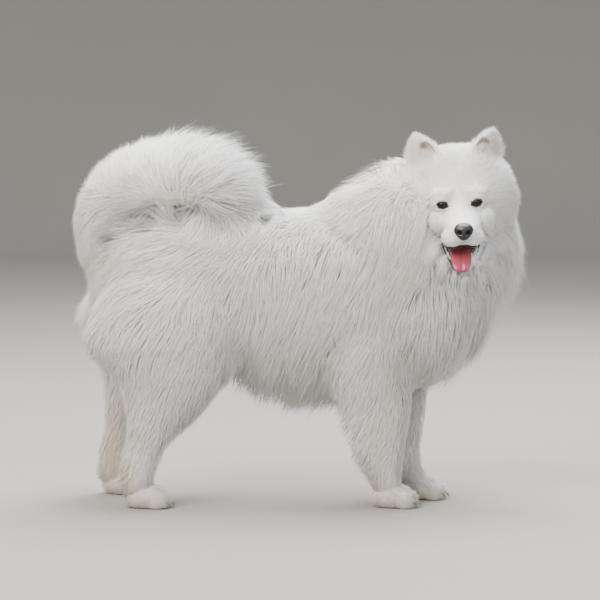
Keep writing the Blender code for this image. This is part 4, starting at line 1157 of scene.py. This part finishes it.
def eyeball(side, sign, finish):
    """A ball with its poles on the line of sight; radius = R + 1.1 * (1 - (angle / 0.75)^2)^2 over the cornea."""
    rings, sides = 40, 48
    u = np.linspace(0.01, math.pi - 0.01, rings)[:, None]
    v = np.linspace(0, 2 * math.pi, sides, endpoint=False)[None, :]
    radius = EYE_R + 1.1 * np.clip(1 - (u / 0.75) ** 2, 0, 1) ** 2
    grid = np.stack([np.sin(u) * np.cos(v) * radius, -np.cos(u) * radius * np.ones_like(v), np.sin(u) * np.sin(v) * radius], -1)
    points, faces = closed_loft(grid + np.array([sign * EYE_X + EYE_SHIFT, EYE_Y, EYE_Z]))
    made = put_mesh(f"eyeball_{side}", on_head(points), faces, finish)
    ring = np.append(np.repeat(u[:, 0] / 0.80, sides), [0.0, 4.0])
    layer = made.data.attributes.new("iris", "FLOAT", "POINT")
    layer.data.foreach_set("value", np.clip(ring, 0, 1).astype(np.float32))
    return ride(outwards(made), "eye", f"eye_{side}")


eye_finish = eye_material()
for side, sign in (("right", -1), ("left", 1)):
    eyeball(side, sign, eye_finish)

# %% [markdown]
# The lids are two leathery black rims that meet in pointed corners, the outer one higher. Here both are one
# closed ring: a profile that runs up the inside, over the edge and back down the outside, carried round
# the almond opening. The edge is black skin, and away from it the white coat begins.

# %% Eyelids
def black_skin_material(name, colour, roughness, pebble, bump):
    """Bare black skin: fine pebbles from a Voronoi pattern of the given size in millimetres."""
    made, tree, shader = new_material(name, Roughness=roughness, Specular_IOR_Level=0.5, Coat_Weight=0.25, Coat_Roughness=0.25)
    place = add_node(tree, "ShaderNodeTexCoord")
    cells = add_node(tree, "ShaderNodeTexVoronoi", {"Vector": place.outputs["Object"], "Scale": 1000 / pebble})
    ramp = add_node(
        tree, "ShaderNodeMapRange", {"Value": cells.outputs["Distance"], "To Min": 1.25, "To Max": 0.6}
    )
    tone = add_node(
        tree, "ShaderNodeVectorMath", {0: tuple(linear(colour)), 1: ramp.outputs["Result"]}, operation="MULTIPLY"
    )
    tree.links.new(tone.outputs["Vector"], shader.inputs["Base Color"])
    relief = add_node(tree, "ShaderNodeBump", {"Height": cells.outputs["Distance"], "Strength": bump, "Distance": 0.0004})
    relief.invert = True
    tree.links.new(relief.outputs["Normal"], shader.inputs["Normal"])
    return made


rim_finish = black_skin_material("eyelid_black_skin", "#0E0C0C", 0.6, 0.9, 0.3)
nose_finish = black_skin_material("nose_leather", "#141217", 0.34, 1.1, 0.7)
lip_finish = black_skin_material("lip_black_skin", "#1A1516", 0.3, 1.6, 0.4)


def eyelids(side, sign, finish):
    """Direction = blend of the almond's edge and a cone of 62 degrees; radius from the profile."""
    turns = np.linspace(0, 2 * math.pi, 64, endpoint=False)[:, None]
    out = np.array([0.40, 0.25, 0.12, 0.05, 0.01, 0.0, 0.04, 0.10, 0.20, 0.32, 0.45])[None, :]
    height = np.array([0.0, -0.1, -0.1, 0.0, 0.1, 0.4, 0.8, 1.0, 0.8, 0.3, -0.8])[None, :]
    across = np.cos(turns) * np.tan(math.radians(42))
    tall = np.sin(turns) * (0.45 + 0.55 * np.abs(np.sin(turns))) * np.tan(math.radians(27))
    edge = np.stack([across, -np.ones_like(across), tall], -1)
    slant = math.radians(EYE_SLANT) * sign
    cone = np.stack([np.cos(turns) * 1.35, -np.ones_like(turns) * 0.75, np.sin(turns) * 1.15], -1)
    way = unit(unit(edge) * (1 - out[..., None]) + unit(cone) * out[..., None])
    x = way[..., 0] * math.cos(slant) - way[..., 2] * math.sin(slant)
    z = way[..., 2] * math.cos(slant) + way[..., 0] * math.sin(slant)
    way = np.stack([x, way[..., 1], z], -1)
    grid = way * (EYE_R + 0.6 + height)[..., None] + np.array([sign * EYE_X + EYE_SHIFT, EYE_Y, EYE_Z])
    made = put_mesh(f"eyelids_{side}", on_head(grid.reshape(-1, 3)), ring_faces(64, out.shape[1], 0, True), finish)
    return ride(outwards(made), "eye")


for side, sign in (("right", -1), ("left", 1)):
    eyelids(side, sign, rim_finish)

# %% [markdown]
# The nose pad is leather: broad and rounded above, narrower below, with two comma-shaped nostrils and a groove
# down its middle. It is a grid of rings from the back edge to the front, with the nostrils and the groove
# pressed in as soft dents: depth * exp(-|distance / size|^2).

# %% Nose
NOSE_PLACE = np.array([-2.0, -98.0, -37.5])


def nose_pad():
    rings, sides = 60, 84
    u = np.linspace(0, 1, rings)[:, None]
    v = np.linspace(0, 2 * math.pi, sides, endpoint=False)[None, :]
    swell = np.sin(np.clip(0.35 + 0.65 * u, 0, 1) * math.pi) ** 0.55 * np.ones_like(v)
    swell = np.where(u < 0.02, 0.82, swell) * np.where(u > 0.995, 0.0, 1)
    across, rise = np.cos(v), np.sin(v)
    wide = 18.8 * (1 - 0.30 * np.clip(-rise, 0, 1) ** 1.3)
    tall = np.where(rise > 0, 14.5, 18.5)
    x = np.sign(across) * np.abs(across) ** 0.86 * wide * swell
    z = rise * tall * swell
    y = 9 - 21 * u**0.8 + 5.0 * (z / 16) * np.clip(-z / 16, 0, 1) - 2.0 * np.clip(z / 14, 0, 1) ** 2 * -1
    for sign in (-1, 1):
        dent = np.exp(-(((x - sign * 7.8) / 3.9) ** 2 + ((z + 2.5 - 0.25 * (np.abs(x) - 8)) / 3.2) ** 2))
        slit = np.exp(-(((x - sign * 12.6) / 3.6) ** 2 + ((z + 5.2) / 1.5) ** 2))
        y = y + (8.0 * dent + 4.5 * slit) * (u > 0.45)
    groove = np.exp(-(x / 1.1) ** 2) * np.clip((3 - z) / 8, 0, 1)
    y = y + 1.8 * groove * (u > 0.4)
    grid = np.stack([x, y * np.ones_like(x), z], -1) + NOSE_PLACE
    points, faces = closed_loft(grid)
    made = put_mesh("nose_pad", on_head(points), faces, nose_finish)
    return ride(outwards(made), "nose", "nose")


nose_pad()

# %% [markdown]
# The open mouth: the upper lips hang at the sides and rise under the nose, the lower lip runs along the jaw, both
# edged with black skin. A dark lining closes the cheeks inside, small teeth stand along the jaw, and
# the tongue lies over the lower lip with a groove down its middle. Lips are tubes along smooth paths.

# %% Tubes along a path
def path_through(spots, count):
    """Points at even parameter steps on the Catmull-Rom curve through the given spots."""
    spots = np.array(spots, float)
    return smooth_rows(spots, np.linspace(0, len(spots) - 1.0001, count))


def tube(spots, widths, count=60, sides=12, flat=1.0):
    """Rings round a path: middle + radius * (cos v * side way + flat * sin v * up way), with tapered ends."""
    middle = path_through(spots, count)
    along = unit(np.gradient(middle, axis=0))
    side = unit(np.cross(along, np.array([0.0, 1.0, 0.25])))
    up = np.cross(side, along)
    v = np.linspace(0, 2 * math.pi, sides, endpoint=False)[None, :, None]
    radius = np.interp(np.linspace(0, 1, count), np.linspace(0, 1, len(widths)), widths)[:, None, None]
    return middle[:, None] + radius * (np.cos(v) * side[:, None] + flat * np.sin(v) * up[:, None])


def mouth_piece(name, rings, finish, slot, *nodes):
    points, faces = closed_loft(rings)
    return ride(outwards(put_mesh(name, on_head(points), faces, finish)), slot, *nodes)


# %% Lips and lining
UPPER_LIP = [(-42, -8, -58), (-39, -30, -68), (-34, -52, -75), (-26, -72, -76.5), (-15, -86, -72), (-3, -93, -66.5),
             (9, -86, -72), (20, -72, -76.5), (29, -52, -75), (34, -30, -68), (37, -8, -58)]
LOWER_LIP = [(-42, -8, -60), (-38, -26, -80), (-31, -44, -98), (-23, -57, -109), (-4, -65, -114),
             (14, -57, -109), (23, -44, -98), (32, -26, -80), (37, -8, -60)]
mouth_piece("upper_lip", tube(UPPER_LIP, [0.4, 0.9, 0.9, 0.8, 0.7, 0.8, 0.7, 0.8, 0.9, 0.9, 0.4]), lip_finish, "nose")
mouth_piece("lower_lip", tube(LOWER_LIP, [0.6, 1.6, 2.2, 2.3, 2.2, 2.3, 2.2, 1.6, 0.6]), lip_finish, "nose")


def mouth_lining():
    """A scoop under the palate: rings whose width and height follow the jaw, dished towards the tongue."""
    rows = [(-2.5, 4, -64, 34, 9), (-2.5, -14, -72, 34, 12), (-3.0, -32, -84, 30, 14), (-3.5, -47, -97, 24, 12),
            (-4.0, -57, -106, 16, 8), (-4.0, -61, -110, 6, 3)]
    table = smooth_rows(np.array(rows, float), np.linspace(0, len(rows) - 1.0001, 30))[:, None, :]
    v = np.linspace(0, 2 * math.pi, 28, endpoint=False)[None, :]
    x = table[..., 0] + table[..., 3] * np.cos(v)
    z = table[..., 2] + table[..., 4] * np.sin(v) - 0.55 * table[..., 4] * np.exp(-(((x + 3.5) / 16) ** 2)) * (np.sin(v) > 0)
    return np.stack([x, table[..., 1] + 0 * v, z], -1)


lining_finish = black_skin_material("mouth_lining", "#2A1416", 0.3, 2.5, 0.4)
mouth_piece("mouth_lining", mouth_lining(), lining_finish, "tongue")


# %% Tongue
def tongue_material():
    made, tree, shader = new_material("wet_tongue", Roughness=0.34, Coat_Weight=0.35, Coat_Roughness=0.18, Subsurface_Weight=0.0)
    place = add_node(tree, "ShaderNodeTexCoord")
    depth = add_node(tree, "ShaderNodeAttribute", attribute_name="along")
    ramp = add_node(tree, "ShaderNodeValToRGB", {"Fac": depth.outputs["Fac"]})
    # near black at the root and dark red at a quarter: painted shade inside the mouth
    stops = [(0.0, "#1C0709"), (0.25, "#4E1A1E"), (0.50, "#983A45"), (0.72, "#983052"), (1.0, "#86284A")]
    elements = ramp.color_ramp.elements
    while len(elements) < len(stops):
        elements.new(0.5)
    for element, (where, colour) in zip(elements, stops):
        element.position, element.color = where, (*linear(colour), 1)
    blotch = add_node(tree, "ShaderNodeTexNoise", {"Vector": place.outputs["Object"], "Scale": 1 / 0.006, "Detail": 3.0})
    tone = add_node(tree, "ShaderNodeMapRange", {"Value": blotch.outputs["Fac"], "To Min": 0.78, "To Max": 1.2})
    toned = add_node(
        tree, "ShaderNodeVectorMath", {0: ramp.outputs["Color"], 1: tone.outputs["Result"]}, operation="MULTIPLY"
    )
    tree.links.new(toned.outputs["Vector"], shader.inputs["Base Color"])
    buds = add_node(tree, "ShaderNodeTexVoronoi", {"Vector": place.outputs["Object"], "Scale": 1 / 0.0013})
    relief = add_node(tree, "ShaderNodeBump", {"Height": buds.outputs["Distance"], "Strength": 0.5, "Distance": 0.0004})
    tree.links.new(relief.outputs["Normal"], shader.inputs["Normal"])
    return made


def tongue():
    """A flat tube along a path that dips over the lip; its upper side is pressed in along the middle."""
    rows = [(-3, 5, -63, 15, 4.5), (-3.5, -20, -74, 17, 4.5), (-5, -45, -89, 18.5, 4.5), (-6.5, -62, -101, 19, 4.5),
            (-7.5, -73, -110, 17.5, 4.2), (-8, -78.5, -118, 13, 3.8), (-8, -80, -122.5, 7, 2.6)]
    table = smooth_rows(np.array(rows, float), np.linspace(0, len(rows) - 1.0001, 60))
    along = unit(np.gradient(table[:, :3], axis=0))
    side = np.tile([1.0, 0.0, 0.0], (len(along), 1))
    up = unit(np.cross(side, along)) * -1
    up = up * np.sign(up[:, 2:3] - up[:, 1:2])
    v = np.linspace(0, 2 * math.pi, 40, endpoint=False)[None, :]
    across = np.sign(np.cos(v)) * np.abs(np.cos(v)) ** 0.9
    x, lift = table[:, 3:4] * across, table[:, 4:5] * np.sin(v)
    edge = 1.6 * (across**2) * np.ones_like(x)
    lift = lift + edge - 2.6 * np.exp(-((x / 2.2) ** 2)) * (np.sin(v) > 0) * np.clip(table[:, 4:5] - 2, 0, 1)
    grid = table[:, None, :3] + x[..., None] * side[:, None] + lift[..., None] * up[:, None]
    made = mouth_piece("tongue_surface", grid, tongue_material(), "tongue", "tongue")
    along_value = np.append(np.repeat(np.linspace(0, 1, 60), 40), [0.0, 1.0])
    layer = made.data.attributes.new("along", "FLOAT", "POINT")
    layer.data.foreach_set("value", along_value.astype(np.float32))
    return made


tongue()


# %% Teeth
def ivory_material():
    made, tree, shader = new_material("tooth_enamel", Roughness=0.22, Coat_Weight=0.4, Coat_Roughness=0.1)
    place = add_node(tree, "ShaderNodeTexCoord")
    stain = add_node(tree, "ShaderNodeTexNoise", {"Vector": place.outputs["Object"], "Scale": 1 / 0.004, "Detail": 2.0})
    mix = add_node(tree, "ShaderNodeMix", {"Factor": stain.outputs["Fac"]}, data_type="RGBA")
    mix.inputs[6].default_value, mix.inputs[7].default_value = (*linear("#EFE9DA"), 1), (*linear("#D9CDB2"), 1)
    tree.links.new(mix.outputs[2], shader.inputs["Base Color"])
    return made


def teeth():
    """Cones with a curved middle line: radius * (1 - u^2), each standing on the jaw between lip and tongue."""
    finish = ivory_material()
    lower = [(-22.5, -55, -108, 2.6, 11), (-27.0, -47, -100, 1.9, 5), (-31.0, -38, -92, 2.0, 5), (-34.0, -30, -85, 2.2, 5),
             (13.0, -55, -108, 2.6, 11), (19.0, -47, -100, 1.9, 5), (23.5, -38, -92, 2.0, 5), (27.5, -30, -85, 2.2, 5)]
    points, faces, start = [], [], 0
    for x, y, z, radius, height in lower:
        u = np.linspace(0, 1, 7)[:, None]
        v = np.linspace(0, 2 * math.pi, 10, endpoint=False)[None, :]
        wide = radius * (1 - u**2) * 0.98 + 0.05
        grid = np.stack([x + wide * np.cos(v), y + wide * np.sin(v) - 2.5 * u**2 + 0 * v, z + height * u + 0 * v], -1)
        spots, loft = closed_loft(grid if height > 0 else grid[::-1])
        points.append(spots)
        faces += [[corner + start for corner in face] for face in loft]
        start += len(spots)
    return ride(outwards(put_mesh("teeth", on_head(np.vstack(points)), faces, finish)), "claw")


teeth()


# %% [markdown]
# Whiskers are single stiff hairs, four times as thick as a guard hair. They spring from the muzzle's sides and
# curve back. They are tufts too, each on its own.

# %% Whiskers
def whiskers():
    rng = np.random.default_rng(77)
    roots = np.array([(s * (24 + 4 * r) - 2, -84 + 13 * k + 3 * r, -47 - 7 * r) for s in (-1, 1) for r in range(3) for k in range(4)])
    count = len(roots)
    side = np.sign(roots[:, 0] + 2)
    way = unit(np.column_stack([side * rng.uniform(0.8, 1.1, count), rng.uniform(0.0, 0.5, count), rng.uniform(-0.6, -0.1, count)]))
    length = rng.uniform(34, 52, count)[:, None]
    u = np.linspace(0, 1, 3)[None, :, None]
    bend = np.array([0.0, 14.0, -9.0])
    lines = roots[:, None] + length[:, None] * u * way[:, None] + u**2 * bend
    outward = np.repeat(unit(np.column_stack([side, -0.3 * np.ones(count), 0.3 * np.ones(count)]))[:, None], 3, 1)
    colours = np.tile(linear("#EDEBE6"), (count, 1))
    made = tuft_mesh("whiskers", on_head(lines.reshape(-1, 3)).reshape(count, 3, 3), outward @ HEAD[:3, :3].T,
                     np.full(count, 0.28), colours, face_unwrap(on_head(roots)), short_finish, (1.0, 0.7), 0.3)
    return ride(made, "coat")


whiskers()

# %% [markdown]
# Claws are horn: translucent brown-grey, lighter at the tip and streaked lengthwise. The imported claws
# have the right shape, so they stay and take this finish.

# %% Claw horn
def horn_material():
    made, tree, shader = new_material("claw_horn_grey", Roughness=0.35, Coat_Weight=0.2, Coat_Roughness=0.3)
    place = add_node(tree, "ShaderNodeTexCoord")
    squeezed = add_node(tree, "ShaderNodeMapping", {"Vector": place.outputs["Object"], "Scale": (200.0, 2500.0, 800.0)})
    streak = add_node(tree, "ShaderNodeTexNoise", {"Vector": squeezed.outputs["Vector"], "Scale": 1.0, "Detail": 3.0})
    ramp = add_node(tree, "ShaderNodeValToRGB", {"Fac": streak.outputs["Fac"]})
    for element, (where, colour) in zip(ramp.color_ramp.elements, ((0.3, "#4A3F36"), (0.75, "#A39482"))):
        element.position, element.color = where, (*linear(colour), 1)
    tree.links.new(ramp.outputs["Color"], shader.inputs["Base Color"])
    relief = add_node(tree, "ShaderNodeBump", {"Height": streak.outputs["Fac"], "Strength": 0.3, "Distance": 0.0003})
    tree.links.new(relief.outputs["Normal"], shader.inputs["Normal"])
    return made


horn = horn_material()
claws = [node for name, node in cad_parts.items() if name.startswith("claw")]
for claw in claws:
    for number in range(len(claw.material_slots)):
        claw.material_slots[number].material = horn
print("claws:", len(claws))

# %% [markdown]
# A pale floor that curves up behind, a broad soft key from the upper left, a weaker fill from the right
# and a rim from behind. The camera stands level with the neck, five metres off, with a long lens.

# %% Floor, lights and camera
def sweep():
    """A round studio floor, 8 m flat, that rises in a quarter circle to a low wall: a profile turned about z."""
    turn = np.linspace(0, math.pi / 2, 16)
    bend = np.column_stack([8 + 2 * np.sin(turn), 2 - 2 * np.cos(turn)])
    profile = np.vstack([[[0.4, 0]], [[4, 0]], bend, [[10, 4]]]) * 1000
    round_way = np.linspace(0, 2 * math.pi, 72, endpoint=False)
    x = profile[:, :1] * np.cos(round_way)
    y = profile[:, :1] * np.sin(round_way)
    grid = np.stack([x, y, np.repeat(profile[:, 1:], 72, 1)], -1)
    points = np.vstack([grid.reshape(-1, 3), [[0, 0, 0]]])
    hub = [[len(points) - 1, k, (k + 1) % 72] for k in range(72)]
    return put_mesh("studio_floor", points, [face[::-1] for face in ring_faces(len(profile), 72)] + hub)


floor_finish, floor_tree, floor_shader = new_material("painted_floor", Roughness=0.85)
floor_place = add_node(floor_tree, "ShaderNodeTexCoord")
floor_noise = add_node(
    floor_tree, "ShaderNodeTexNoise", {"Vector": floor_place.outputs["Object"], "Scale": 1.2, "Detail": 2.0}
)
floor_tone = add_node(floor_tree, "ShaderNodeMapRange", {"Value": floor_noise.outputs["Fac"], "To Min": 0.96, "To Max": 1.04})
floor_colour = add_node(
    floor_tree, "ShaderNodeVectorMath", {0: tuple(linear("#8F8C87")), 1: floor_tone.outputs["Result"]}, operation="MULTIPLY"
)
floor_tree.links.new(floor_colour.outputs["Vector"], floor_shader.inputs["Base Color"])
floor = sweep()
floor.data.materials.append(floor_finish)
floor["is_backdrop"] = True


def soft_light(name, place, aim, size, power, tint="#FFFFFF"):
    lamp = bpy.data.lights.new(name, "AREA")
    lamp.size, lamp.energy, lamp.color = size, power, tuple(linear(tint))
    made = bpy.data.objects.new(name, lamp)
    made.location = place
    made.rotation_euler = (Vector(aim) - Vector(place)).to_track_quat("-Z", "Y").to_euler()
    bpy.context.scene.collection.objects.link(made)
    return made


soft_light("key", (-2.4, -3.0, 3.8), (0, 0, 0.4), 3.4, 520, "#FFF8EF")
soft_light("top", (0.3, 0.9, 4.2), (0, 0, 0.4), 3.0, 480, "#FFFFFF")
soft_light("fill", (3.4, -3.4, 1.8), (0, 0, 0.4), 3.0, 90, "#F2F5FF")
soft_light("rim", (1.5, 3.2, 3.0), (0, 0, 0.5), 2.0, 130, "#FFFFFF")
world = bpy.data.worlds.new("studio")
world.use_nodes = True
world.node_tree.nodes["Background"].inputs["Color"].default_value = (*linear("#C8C9CB"), 1)
world.node_tree.nodes["Background"].inputs["Strength"].default_value = 1.6
bpy.context.scene.world = world

camera = bpy.data.objects.new("camera", bpy.data.cameras.new("camera"))
camera.data.lens, camera.data.sensor_width = 150.9, 36.0
camera.location = (0.009, -4.9785, 0.80)
aim = Vector((0.009, 0.0215, 0.403))
camera.rotation_euler = (aim - camera.location).to_track_quat("-Z", "Y").to_euler()
bpy.context.scene.collection.objects.link(camera)
bpy.context.scene.camera = camera
bpy.context.view_layer.update()

# %% Print the sizes and finish
visual_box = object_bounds()
sizes = {"cad": [list(map(float, corner)) for corner in cad_box], "visual": [list(map(float, corner)) for corner in visual_box]}
print("sizes:", sizes, round(time.time() - started, 1), "s")
